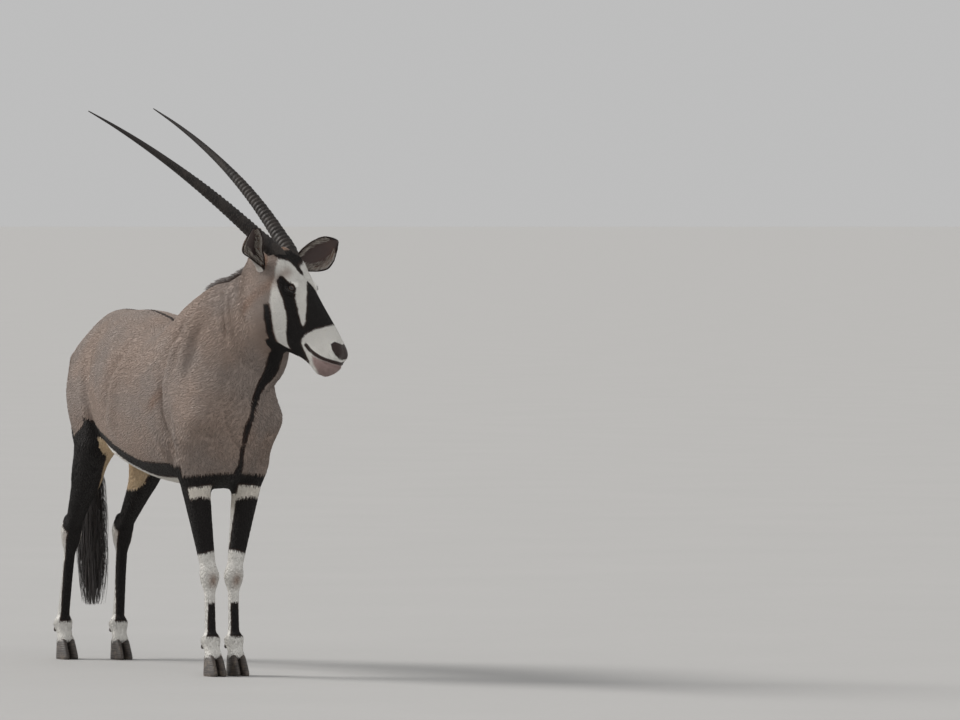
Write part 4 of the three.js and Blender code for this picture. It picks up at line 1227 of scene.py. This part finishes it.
def coat_material(name, is_skin):
    s = Shader(name)
    fine = s.noise(330.0, 3.0)
    wide = s.noise(5.0, 3.0)
    patch = s.noise(42.0, 2.0)
    edge = s.math("MULTIPLY_ADD", fine, 7.0, -3.5)
    edge = s.math("ADD", edge, s.math("MULTIPLY_ADD", patch, 5.0, -2.5))
    black_depth = s.math("ADD", s.value("black"), edge)
    white_depth = s.math("ADD", s.value("white"), edge)
    black = s.ramp(black_depth, -1.6, 1.6)
    rim = s.ramp(black_depth, 7.0, 0.0)
    white = s.ramp(white_depth, -5.0, 4.0)
    tint = s.blend(s.ramp(wide, 0.36, 0.64), COAT_GREY, COAT_WARM)
    tint = s.blend(white, tint, WHITE_HAIR)
    tint = s.blend(s.math("MULTIPLY", s.value("cream"), white), tint, CREAM_HAIR)
    tint = s.blend(s.value("brown"), tint, BROWN_HAIR)
    dark = s.blend(s.math("MULTIPLY", rim, 0.8), BLACK_HAIR, BLACK_RIM)
    tint = s.blend(black, tint, dark)
    tint = s.blend(s.value("lip"), tint, LIP_SKIN)
    tint = s.blend(s.value("bare"), tint, NOSE_SKIN)
    tone = s.math("MULTIPLY_ADD", s.value("tone"), 0.10, 0.89)
    tone = s.math("MULTIPLY_ADD", fine, 0.12, tone)
    s.set(Base_Color=s.toned(tint, tone))
    s.set(Sheen_Weight=0.07, Sheen_Roughness=0.5, Sheen_Tint=colour(0.9, 0.86, 0.82))
    bare = s.math("MAXIMUM", s.value("bare"), s.math("MULTIPLY", s.value("lip"), 0.5))
    s.set(Roughness=s.math("MULTIPLY_ADD", bare, -0.35, 0.72), Specular_IOR_Level=0.18)
    if is_skin:
        strands = s.noise(1.0, 2.0, s.stretched(260.0, 900.0, 380.0))
        grain = s.bump(strands, 0.0016, 0.55)
        s.set(Normal=s.bump(s.noise(60.0, 3.0), 0.004, 0.25, grain))
    return s.material


def hair_material(name, root_tint, tip_tint):
    s = Shader(name)
    tint = s.blend(s.ramp(s.value("reach"), 0.1, 0.95), root_tint, tip_tint)
    tone = s.math("MULTIPLY_ADD", s.value("tone"), 0.5, 0.75)
    s.set(Base_Color=s.toned(tint, tone), Sheen_Weight=0.15)
    s.set(Roughness=s.math("MULTIPLY_ADD", s.noise(300.0), 0.2, 0.38))
    return s.material


def horn_material(name):
    s = Shader(name)
    lines = s.noise(1.0, 4.0, s.stretched(60.0, 420.0, 160.0))
    worn = s.noise(26.0, 4.0)
    tint = s.blend(s.ramp(worn, 0.38, 0.66), HORN_DARK, HORN_LIGHT)
    tint = s.blend(s.ramp(lines, 0.45, 0.75), tint, HORN_STREAK)
    tint = s.blend(s.ramp(s.value("reach"), 0.55, 0.85), tint, HORN_TIP)
    s.set(Base_Color=tint, Roughness=s.math("MULTIPLY_ADD", worn, 0.3, 0.46), Specular_IOR_Level=0.32)
    s.set(Normal=s.bump(lines, 0.0012, 0.5, s.bump(worn, 0.002, 0.3)))
    return s.material


def claw_material(name):
    s = Shader(name)
    rings = s.noise(1.0, 3.0, s.stretched(30.0, 30.0, 460.0))
    dust = s.noise(55.0, 4.0)
    tint = s.blend(s.ramp(rings, 0.35, 0.7), CLAW_DARK, CLAW_LIGHT)
    tint = s.blend(s.math("MULTIPLY", s.ramp(dust, 0.5, 0.75), 0.5), tint, DUST)
    s.set(Base_Color=tint, Roughness=s.math("MULTIPLY_ADD", dust, 0.35, 0.32))
    s.set(Normal=s.bump(rings, 0.001, 0.5))
    return s.material


def eye_material(name):
    s = Shader(name)
    tilt = s.value("tilt")
    streaks = s.noise(500.0, 3.0)
    iris = s.blend(streaks, IRIS_DARK, IRIS_LIGHT)
    tint = s.blend(s.ramp(s.value("pupil"), 0.9, 1.05), PUPIL, iris)
    tint = s.blend(s.ramp(tilt, 0.66, 0.74), tint, IRIS_EDGE)
    tint = s.blend(s.ramp(tilt, 0.80, 0.95), tint, EYE_WHITE)
    s.set(Base_Color=tint, Roughness=s.math("MULTIPLY_ADD", s.ramp(tilt, 0.8, 1.0), 0.14, 0.05))
    s.set(Coat_Weight=0.5, Coat_Roughness=0.03)
    return s.material


def floor_material(name):
    s = Shader(name)
    tint = s.blend(s.noise(1.4, 3.0), FLOOR_DARK, FLOOR_LIGHT)
    s.set(Base_Color=tint, Roughness=s.math("MULTIPLY_ADD", s.noise(30.0), 0.2, 0.7))
    return s.material


coat_skin = coat_material("coat_skin", True)
coat_fur = coat_material("coat_fur", False)
mane_hair = hair_material("mane_hair", colour(0.085, 0.050, 0.036), colour(0.035, 0.021, 0.016))
tassel_hair = hair_material("tassel_hair", colour(0.009, 0.007, 0.007), colour(0.020, 0.012, 0.010))
ear_hair = hair_material("ear_hair", colour(0.22, 0.18, 0.155), colour(0.46, 0.42, 0.37))
horn_surface = horn_material("horn_surface")
claw_surface = claw_material("claw_surface")
eye_surface = eye_material("eye_surface")


def piece(made, material, slot, *nodes):
    made.data.materials.append(material)
    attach(made, "root")
    if nodes:
        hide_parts(*nodes)

# The ears join the skin
ear_verts, ear_faces = [], []
for side in SIDES:
    verts, faces = ear_shell(side)
    if side < 0:
        faces = faces[:, ::-1]
    ear_verts.append(verts)
    ear_faces.append(faces + len(ear_faces) * len(verts))
ear_verts, ear_faces = np.concatenate(ear_verts), np.concatenate(ear_faces)


# Markings of an ear by the share along it and the share from its middle to a rim
def ear_marks_at(t, s, inside):
    rim = np.maximum((s - 0.9) * 40, (t - 0.88) * 90)
    zero = np.zeros(len(t))
    if inside:
        dark = 9 - 16 * np.abs(s - 0.1) - 12 * np.abs(t - 0.55)
        return {
            "black": np.maximum(rim, dark),
            "white": 20 * s - 15.0,
            "brown": 0.9 * step(1.0, 0.45, s),
            "bare": zero,
            "lip": 0.2 * step(0.9, 0.2, s),
            "cream": zero,
        }
    return {
        "black": rim,
        "white": 2 - 16 * t + 6 * (s - 0.5),
        "brown": 0.35 * step(0.2, 0.9, t),
        "bare": zero,
        "lip": zero,
        "cream": zero,
    }


def ear_marks():
    number = np.arange(EAR_ROWS * EAR_COLUMNS)
    t = number // EAR_COLUMNS / (EAR_ROWS - 1)
    s = np.abs(number % EAR_COLUMNS / (EAR_COLUMNS - 1) * 2 - 1)
    faces = [ear_marks_at(t, s, False), ear_marks_at(t, s, True)]
    return {key: np.concatenate([face[key] for face in faces]) for key in faces[0]}


body_points = points
body_marks = markings(body_points)
ear_values = [ear_marks() for side in SIDES]
values = {key: np.concatenate([body_marks[key], *[v[key] for v in ear_values]]) for key in body_marks}
values["tone"] = np.zeros(len(values["black"])) + 0.5
body_faces = [list(f.vertices) for f in skin_mesh.polygons]
all_points = np.concatenate([body_points, ear_verts])
all_faces = body_faces + (ear_faces + len(body_points)).tolist()
bpy.data.meshes.remove(skin_mesh)
skin = object_from("skin", all_points, all_faces)
give(skin.data, values)
FLESH = ["torso", "neck", "head", "tail"]
FLESH += [name_of(thing, side) for thing in ("foreleg", "hindleg", "ear") for side in SIDES]
piece(skin, coat_skin, "coat", *FLESH)

for side in SIDES:
    verts, faces = horn(side)
    made = object_from(name_of("horn_ringed", side), verts, faces)
    piece(made, horn_surface, "horn", name_of("horn", side))
    base, tip = on_head(2, side * HORN_SPREAD, 4), verts[-1]
    reach = (verts - base) @ unit(tip - base) / np.linalg.norm(tip - base)
    give(made.data, {"reach": np.clip(reach, 0, 1)})
    verts, faces, tilt = eyeball(side)
    made = object_from(name_of("eyeball", side), verts, faces)
    piece(made, eye_surface, "eye", name_of("eye", side))
    v = unit(verts - EYE_SPOTS[side]) @ eye_axes(side).T
    give(made.data, {"tilt": tilt, "pupil": np.hypot(v[:, 1] / 0.17, v[:, 2] / 0.34) + (v[:, 0] < 0) * 9})
for foot, legs in (("fore", fore_legs), ("hind", hind_legs)):
    for j in legs:
        for side in SIDES:
            where = "outer" if side == j["side"] else "inner"
            for thing, shape in (("claw", claw), ("dewclaw", dewclaw)):
                node = f"{name_of(f'{foot}_{thing}', j['side'])}_{where}"
                piece(object_from(node + "_horn", *shape(j, side)), claw_surface, "claw", node)

# Hair as closed three-sided locks, a few rings and a tip each


def lock_triangles(rings):
    faces = [(0, 2, 1)]
    for low in range(0, 3 * (rings - 1), 3):
        for i in range(3):
            a, b = low + i, low + (i + 1) % 3
            faces += [(a, b, b + 3), (a, b + 3, a + 3)]
    top = 3 * (rings - 1)
    faces += [(top + i, top + (i + 1) % 3, top + 3) for i in range(3)]
    return np.array(faces)


# Centres are (locks, rings + 1, 3), the last one the tip; across and out are unit directions at each ring
def locks(centres, across, out, half_width, half_depth):
    body = centres[:, :-1]
    wide, deep = across * half_width[..., None], out * half_depth[..., None]
    corners = np.stack([body + wide - deep * 0.4, body + deep, body - wide - deep * 0.4], 2)
    flat = corners.reshape(len(centres), -1, 3)
    return np.concatenate([flat, centres[:, -1:]], 1)


# The patch of each lock on the unwrap is about 0.003 across
PATCH = 0.0015


def lock_object(name, verts, places, material, values):
    count, each = verts.shape[:2]
    rings = (each - 1) // 3
    faces = (lock_triangles(rings)[None] + np.arange(count)[:, None, None] * each).reshape(-1)
    mesh = bpy.data.meshes.new(name)
    mesh.vertices.add(count * each)
    mesh.vertices.foreach_set("co", metres(verts.reshape(-1, 3)).astype(np.float32).ravel())
    mesh.loops.add(len(faces))
    mesh.loops.foreach_set("vertex_index", faces.astype(np.int32))
    mesh.polygons.add(len(faces) // 3)
    mesh.polygons.foreach_set("loop_start", np.arange(0, len(faces), 3, dtype=np.int32))
    mesh.polygons.foreach_set("use_smooth", np.ones(len(faces) // 3, bool))
    mesh.update(calc_edges=True)
    ring = np.minimum(np.arange(each) // 3, rings)
    turn = np.arange(each) % 3 * 2 * math.pi / 3
    size = PATCH * (1 - ring / rings * 0.9)
    offset = np.stack([np.cos(turn) * size, np.sin(turn) * size], 1)
    spots = (places[:, None] + offset[None]).reshape(-1, 2)
    mesh.uv_layers.new(name="OFBake").data.foreach_set("uv", spots[faces].astype(np.float32).ravel())
    give(mesh, {key: np.repeat(data, each) for key, data in values.items()})
    give(mesh, {"reach": np.tile(ring / rings, count)})
    piece(new_object(name, mesh), material, "coat")
    print(name, count, "locks", len(faces) // 3, "triangles")


# The share of a full turn round an axis
def turned(across, up):
    return np.arctan2(across, up) / (2 * math.pi) + 0.5


# Where a point of the coat lies on the unwrap: a tile for each part, along it and round it
def chart(p):
    x, y, z = p.T
    h = in_head(p)
    n = (p - NECK_START) @ NECK_AXES.T
    round_trunk = turned(y, z - WAIST_Z)
    round_neck = turned(n[:, 1], n[:, 2])
    round_head = turned(h[:, 1], h[:, 2] + HEAD_AXIS_DROP)
    u = 0.02 + (x + 780) / 1400 * 0.60
    v = 0.02 + round_trunk * 0.50
    neck = (ahead_of_neck_base(p) > 0)[:, None]
    head = (ahead_of_head_base(p) > 0)[:, None]
    found = np.column_stack([u, v])
    found = np.where(neck, np.column_stack([0.66 + n[:, 0] / 420 * 0.3, 0.02 + round_neck * 0.3]), found)
    found = np.where(head, np.column_stack([0.72 + h[:, 0] / 400 * 0.26, 0.35 + round_head * 0.3]), found)
    for i, j in enumerate(all_legs):
        near = (z < 600) & (np.sign(y - 1) == j["side"]) & ((x > 0) == ("knee" in j))
        middle_x, middle_y = leg_middle(j, z)
        turn = turned(y - middle_y, x - middle_x)
        tile = np.column_stack([0.02 + i * 0.16 + turn * 0.14, 0.56 + z / 600 * 0.40])
        found = np.where(near[:, None], tile, found)
    tail = (x < -668)[:, None]
    tile = np.column_stack([0.68 + turned(y - 6, x + 710) * 0.12, 0.68 + z / 1000 * 0.28])
    return np.where(tail, tile, found)


def ear_chart(side, t, s):
    return np.column_stack([0.84 + (side > 0) * 0.07 + (s + 1) * 0.03, 0.68 + t * 0.28])


# The way the coat lies, before it is laid flat on the skin
def lie_of(p):
    x, z = p[:, 0], p[:, 2]
    trunk = np.tile([-1.0, 0, -0.25], (len(p), 1))
    down = (step(860, 640, z) * ((x > 250) | (x < -250)))[:, None]
    down = np.maximum(down, (step(-420, -600, x) * 0.8)[:, None])
    found = mix(trunk, np.array([-0.12, 0, -1.0]), down)
    neck = step(-60, 90, ahead_of_neck_base(p))[:, None]
    found = mix(found, -NECK_AXES[0] + np.array([0.1, 0, -0.55]), neck)
    head = step(-40, 40, ahead_of_head_base(p))[:, None]
    return mix(found, -HEAD[0], head)


# Spacing of the tufts in millimetres
LEG_SPACING = 3.0
TRUNK_SPACING = 4.9
CHEEK_SPACING = 2.9
MUZZLE_SPACING = 2.05


def spacing_of(p):
    body = mix(LEG_SPACING, TRUNK_SPACING, step(380, 700, p[:, 2]))
    face = mix(CHEEK_SPACING, MUZZLE_SPACING, step(40, 260, in_head(p)[:, 0]))
    return mix(body, face, step(-30, 30, ahead_of_head_base(p)))


# How much longer the tufts are at the fetlocks, coronets, crown, chest, spine and brisket
def shag_of(p):
    y, z = p[:, 1], p[:, 2]
    found = np.ones(len(p))
    for j in all_legs:
        fetlock = np.array(j["fetlock"], float) + [-22, 0, -8]
        found += 0.35 * bell(length_of(p - fetlock), 0, 24)
        found += 0.3 * bell(length_of(p - np.array(j["coronet"]) - [0, 0, 8]), 0, 30)
    found += 0.3 * bell(length_of(p - on_head(12, 0, 30)), 0, 42)
    found += 0.2 * bell(z, 590, 40) * step(60, 0, np.abs(y))
    found += 0.7 * bell(length_of((p - [-80, 0, 1112]) / [150, 22, 30]), 0, 1)
    found += 0.1 * bell(length_of((p - [470, 0, 640]) / [90, 60, 60]), 0, 1)
    return found


TUFTS = 127000
TUFTS_A_PIECE = 19500
FUR_REACH = 2.8
skin.data.calc_loop_triangles()
triangles = np.zeros(len(skin.data.loop_triangles) * 3, np.int32)
skin.data.loop_triangles.foreach_get("vertices", triangles)
triangles = triangles.reshape(-1, 3)
skin_normals = np.zeros(len(all_points) * 3, np.float32)
skin.data.vertex_normals.foreach_get("vector", skin_normals)
skin_normals = skin_normals.reshape(-1, 3).astype(float)


# No short hair grows below the coronets, on the bare nose, in the nostrils, at the eyes and along the mouth
HAIR_LOW_Z = 57
HAIR_FROM_EYE = 26.5
HAIR_FROM_NOSTRIL = 1.5
HAIR_FROM_LIPS = 3.2


def grows_hair(p, bare):
    h = in_head(p)
    lips = polyline_gap(h[:, 0], h[:, 2], MOUTH_LINE)
    pits = np.min([pit(p) for pit in nostril_pits], axis=0)
    kept = (p[:, 2] > HAIR_LOW_Z) & (bare < 0.4)
    kept &= (to_nearer_eye(p) > HAIR_FROM_EYE) & (pits > HAIR_FROM_NOSTRIL)
    at_mouth = (lips < HAIR_FROM_LIPS) & (h[:, 0] > MOUTH_BACK) & (ahead_of_head_base(p) > 0)
    return kept & ~at_mouth


def random_spots(chosen, weight, count):
    total = np.cumsum(weight)
    at = (np.arange(count) + RANDOM.random(count)) / count * total[-1]
    picked = chosen[np.minimum(np.searchsorted(total, at), len(chosen) - 1)]
    a, b = RANDOM.random((2, count, 1))
    over = a + b > 1
    a, b = np.where(over, 1 - a, a), np.where(over, 1 - b, b)
    share = np.stack([1 - a - b, a, b], 1)
    spots = (all_points[triangles[picked]] * share).sum(1)
    ways = unit((skin_normals[triangles[picked]] * share).sum(1))
    marks = {key: (data[triangles[picked]] * share[:, :, 0]).sum(1) for key, data in values.items()}
    return spots, ways, marks


# Tufts from roots on the skin: they rise a little, bend back and lie along the body.
# The shares run from root to tip, with the rise at each, and the half width and depth at the first two.
TUFT_SHARES = np.array([0.0, 0.42, 1.0])
TUFT_RISE = np.array([-0.06, 0.72, 0.75])
TUFT_WIDE = np.array([0.7, 1.0])
TUFT_DEEP = np.array([0.2, 0.24])


def fur(spots, ways, lie, length, half):
    lie = unit(lie) + RANDOM.normal(0, 0.09, lie.shape)
    lie = unit(lie - (lie * ways).sum(1, keepdims=True) * ways)
    across = np.cross(lie, ways)
    lift = RANDOM.uniform(0.03, 0.13, len(spots))
    bend = RANDOM.normal(0, 0.06, len(spots))
    centres = spots[:, None] + lie[:, None] * (TUFT_SHARES[:, None] * length[:, None, None])
    centres = centres + ways[:, None] * (TUFT_RISE[:, None] * (lift * length)[:, None, None])
    centres = centres + across[:, None] * ((TUFT_SHARES**2)[:, None] * (bend * length)[:, None, None])
    wide = half[:, None] * TUFT_WIDE
    deep = half[:, None] * TUFT_DEEP
    return locks(centres, across[:, None], ways[:, None], wide, deep)


of_body = np.flatnonzero(triangles.max(1) < len(body_points))
corners_of = all_points[triangles[of_body]]
middles = corners_of.mean(1)
sides_of = corners_of[:, 1:] - corners_of[:, :1]
areas = length_of(np.cross(sides_of[:, 0], sides_of[:, 1])) / 2
bare_at = values["bare"][triangles[of_body]].mean(1)
weight = areas / spacing_of(middles) ** 2 * grows_hair(middles, bare_at)
spots, ways, marks = random_spots(of_body, weight, TUFTS)
spacing = spacing_of(spots) * RANDOM.uniform(0.75, 1.25, TUFTS)
shag = shag_of(spots)
tufts = fur(spots, ways, lie_of(spots), spacing * FUR_REACH * shag, spacing * 0.30 * shag**0.4)
marks["tone"] = RANDOM.random(TUFTS)
places = chart(spots)
order = np.lexsort((spots[:, 0], ahead_of_head_base(spots) > 0))
for number, start in enumerate(range(0, TUFTS, TUFTS_A_PIECE)):
    part = order[start:start + TUFTS_A_PIECE]
    part_marks = {key: data[part] for key, data in marks.items()}
    lock_object(f"fur_{number + 1}", tufts[part], places[part], coat_fur, part_marks)

# Fur on the backs of the ears
EAR_TUFTS = 2600
ear_tufts, ear_places, ear_values_of = [], [], []
for side in SIDES:
    t = RANDOM.uniform(0.16, 0.97, EAR_TUFTS)
    s = RANDOM.uniform(-0.97, 0.97, EAR_TUFTS)
    root = ear_point(side, t, s, 0)
    ahead, beside = ear_point(side, t + 0.01, s, 0), ear_point(side, t, s + 0.01, 0)
    out = unit(np.cross(beside - root, ahead - root))
    start, axes = ear_place(side)
    middle = start + np.outer(t * (EAR_LENGTH + EAR_ROOT_DEPTH), axes[0])
    out *= np.sign(((root - middle) * out).sum(1, keepdims=True))
    length = RANDOM.uniform(7, 11, EAR_TUFTS)
    ear_tufts.append(fur(root, out, unit(ahead - root), length, length * 0.1))
    ear_places.append(ear_chart(side, t, s))
    ear_values_of.append(ear_marks_at(t, np.abs(s), False))
marks = {key: np.concatenate([v[key] for v in ear_values_of]) for key in ear_values_of[0]}
marks["tone"] = RANDOM.random(len(marks["black"]))
lock_object("ear_fur", np.concatenate(ear_tufts), np.concatenate(ear_places), coat_fur, marks)


# Long locks along paths of (locks, rings + 1, 3), flat side out
LOCK_RINGS = 3


def long_locks(paths, out, half, flatness=0.45):
    rings = paths.shape[1] - 1
    way = unit(np.gradient(paths, axis=1))[:, :-1]
    across = unit(np.cross(way, np.broadcast_to(out[:, None], way.shape)))
    outward = np.cross(across, way)
    share = np.arange(rings) / rings
    wide = half[:, None] * (0.7 + 0.6 * share) * (1 - share**2.2)
    return locks(paths, -across, outward, wide, wide * flatness)


def bent_paths(root, first, last, length, rings):
    share = np.linspace(0, 1, rings + 1)[None, :, None]
    way = mix(first[:, None], last[:, None], share * 0.5)
    return root[:, None] + way * share * length[:, None, None]


# Long pale hair that crosses the openings of the ears from their rims
EAR_HAIRS = 330
ear_paths, ear_outs, ear_spots = [], [], []
for side in SIDES:
    t = RANDOM.uniform(0.14, 0.86, EAR_HAIRS)
    s = RANDOM.choice([-1.0, 1.0], EAR_HAIRS) * RANDOM.uniform(0.45, 0.93, EAR_HAIRS)
    root = ear_point(side, t, s, 1)
    ahead = unit(ear_point(side, t + 0.01, s, 1) - root)
    axes = ear_place(side)[1]
    inward = -np.sign(s)[:, None] * axes[1]
    facing = np.tile(axes[2], (EAR_HAIRS, 1))
    first = unit(ahead * 0.8 + inward * 0.5 + facing * 0.25)
    last = unit(ahead * 1.2 + inward * 0.35 - facing * 0.1)
    length = RANDOM.uniform(16, 38, EAR_HAIRS) * (1.1 - 0.5 * t)
    ear_paths.append(bent_paths(root, first, last, length, LOCK_RINGS))
    ear_outs.append(facing)
    ear_spots.append(ear_chart(side, t, s))
paths = np.concatenate(ear_paths)
hairs = long_locks(paths, np.concatenate(ear_outs), RANDOM.uniform(0.6, 1.1, len(paths)))
lock_object("ear_hair", hairs, np.concatenate(ear_spots), ear_hair, {"tone": RANDOM.random(len(paths))})

# Mane: short locks along the crest, found on the surface, that lean back and thin out to both ends
CREST_KNOTS = np.array([(330, 0, 1150), (500, 16, 1120), (650, 86, 1204)], float)
CREST_UP = unit(np.array([-0.45, -0.04, 0.9]))
CREST_ROUNDS = 40
CREST_STEP = 4
MANE_LOCKS = 1500


def crest(share):
    t = share[:, None]
    spot = CREST_KNOTS[0] * (1 - t) ** 2 + 2 * CREST_KNOTS[1] * t * (1 - t) + CREST_KNOTS[2] * t**2
    for _ in range(CREST_ROUNDS):
        spot = spot - CREST_UP * np.minimum(flesh_field(spot), CREST_STEP)[:, None] * 0.8
    return spot


share = RANDOM.uniform(-0.16, 0.97, MANE_LOCKS)
middle = step(-0.17, 0.15, share) * step(0.98, 0.75, share)
table = np.linspace(-0.2, 1.0, 60)
crest_at = profile(np.column_stack([table, crest(table)]))
root = crest_at(share)
back = unit(crest_at(share - 0.04) - root)
beside = unit(np.cross(back, CREST_UP))
rise = unit(np.cross(beside, back))
sideways = RANDOM.uniform(-1, 1, MANE_LOCKS)
root = root + beside * (sideways * mix(3, 10, middle))[:, None] - rise * (3 + 5 * sideways**2)[:, None]
tall = RANDOM.uniform(22, 40, MANE_LOCKS) * mix(0.45, 1, middle)
first = unit(rise + back * 0.55 + beside * (sideways * 0.35)[:, None])
stray = sideways * 0.5 + RANDOM.normal(0, 0.12, MANE_LOCKS)
last = unit(rise * 0.15 + back * 1.1 + beside * stray[:, None])
paths = bent_paths(root, first, last, tall, LOCK_RINGS)
half = RANDOM.uniform(1.0, 1.9, MANE_LOCKS)
tone = {"tone": RANDOM.random(MANE_LOCKS)}
lock_object("mane", long_locks(paths, beside, half), chart(root), mane_hair, tone)

# Tassel: long strands from the lower half of the tail that follow it down in one full brush
TASSEL_STRANDS = 1900
TASSEL_LOW_Z = 176
TASSEL_RINGS = 6
tassel_reach = profile([
    (0.32, 13), (0.42, 24), (0.55, 42), (0.68, 53), (0.8, 53), (0.92, 42), (1.02, 27), (1.15, 10),
])
start = RANDOM.uniform(0, 1, TASSEL_STRANDS) ** 0.9 * 0.52 + 0.35
run = RANDOM.uniform(0.12, 0.36, TASSEL_STRANDS)
around = RANDOM.uniform(0, 2 * math.pi, TASSEL_STRANDS)
out = np.column_stack([np.cos(around), np.sin(around), np.zeros(TASSEL_STRANDS)])
fullness = np.sqrt(RANDOM.uniform(0.08, 1, TASSEL_STRANDS))
wander = RANDOM.uniform(0.82, 1.08, TASSEL_STRANDS)
paths = []
for share in np.linspace(0, 1, TASSEL_RINGS + 1):
    at = start + run * share
    centre, _ = tail_curve(np.minimum(at, 1))
    centre = centre + np.array([0, 0, -1.0]) * (np.maximum(at - 1, 0) * tail_curve.length)[:, None]
    spread = tassel_reach(at * wander)[:, 0] * fullness * step(-0.35, 0.4, share)
    wave = np.sin(share * 5 + around * 3) * 2.2
    paths.append(centre + out * (spread + wave)[:, None] * (0.25 + 0.75 * share if share < 0.34 else 1))
paths = np.stack(paths, 1)
paths[:, :, 2] = np.maximum(paths[:, :, 2], TASSEL_LOW_Z + 0.1 * (paths[:, :, 2] - TASSEL_LOW_Z))
half = RANDOM.uniform(1.1, 2.3, TASSEL_STRANDS)
tone = {"tone": RANDOM.random(TASSEL_STRANDS)}
lock_object("tassel", long_locks(paths, out, half), chart(paths[:, 0]), tassel_hair, tone)

# Lashes along the upper lids
LASHES = 70
LASH_HALF = 0.35
lash_paths, lash_outs = [], []
for side in SIDES:
    axes = eye_axes(side)
    along = RANDOM.uniform(-0.85, 0.75, LASHES) * LID_HALF_LENGTH
    height = LID_HALF_HEIGHT * (1 - (along / LID_HALF_LENGTH) ** 2)
    radius = EYE_RADIUS + 1.5
    outward = np.sqrt(np.maximum(radius**2 - along**2 - height**2, 1))
    root = EYE_SPOTS[side] + np.column_stack([outward, height, along]) @ axes
    first = np.tile(axes[0] + 0.25 * axes[1], (LASHES, 1)) + np.outer(along / 40, axes[2])
    last = first + axes[1] * 1.1 + RANDOM.normal(0, 0.1, (LASHES, 3))
    length = RANDOM.uniform(9, 15, LASHES)
    lash_paths.append(bent_paths(root, unit(first), unit(last), length, LOCK_RINGS))
    lash_outs.append(np.tile(axes[1], (LASHES, 1)))
paths = np.concatenate(lash_paths)
lashes = long_locks(paths, np.concatenate(lash_outs), np.full(len(paths), LASH_HALF))
lock_object("lashes", lashes, chart(paths[:, 0]), tassel_hair, {"tone": RANDOM.random(len(paths))})

# Floor and light
FLOOR_SIDES = 96
FLOOR_REACHES = (6, 60, 600, 4000)
turn = np.arange(FLOOR_SIDES) * 2 * math.pi / FLOOR_SIDES
edge = np.column_stack([np.cos(turn), np.sin(turn), np.zeros(FLOOR_SIDES)])
circles = [edge * reach for reach in FLOOR_REACHES]
floor_faces = [tuple(range(FLOOR_SIDES))]
for circle in range(len(FLOOR_REACHES) - 1):
    inner = circle * FLOOR_SIDES
    outer = inner + FLOOR_SIDES
    for k in range(FLOOR_SIDES):
        after = (k + 1) % FLOOR_SIDES
        floor_faces.append((inner + k, outer + k, outer + after, inner + after))
floor = new_object("floor", bpy.data.meshes.new("floor"))
floor.data.from_pydata(np.concatenate(circles).tolist(), [], floor_faces)
floor.data.materials.append(floor_material("floor_pale"))


def soft_sun(name, way, spread, strength, tint):
    light = bpy.data.lights.new(name, "SUN")
    light.angle = math.radians(spread)
    light.energy = strength
    light.color = tint
    new_object(name, light).rotation_euler = Vector(way).to_track_quat("-Z", "Y").to_euler()


# The way of light that comes from the picture's left, the camera's side and above, in these shares
def light_way(left, front, up):
    way = -picture_right * left + camera_back * [1, 1, 0] * front + np.array([0, 0, 1.0]) * up
    return tuple(-way)


soft_sun("key_light", light_way(1.0, -0.45, 0.75), 22, 3.0, (1.0, 0.975, 0.94))
soft_sun("front_light", light_way(-0.35, 1.0, 0.7), 45, 0.5, (1.0, 0.98, 0.95))
SKY_TINT = colour(0.80, 0.80, 0.80)
SKY_STRENGTH = 0.64
world = bpy.data.worlds.new("studio")
world.use_nodes = True
sky = world.node_tree.nodes["Background"]
sky.inputs["Color"].default_value = SKY_TINT
sky.inputs["Strength"].default_value = SKY_STRENGTH
bpy.context.scene.world = world
bpy.context.scene.view_settings.view_transform = "Standard"
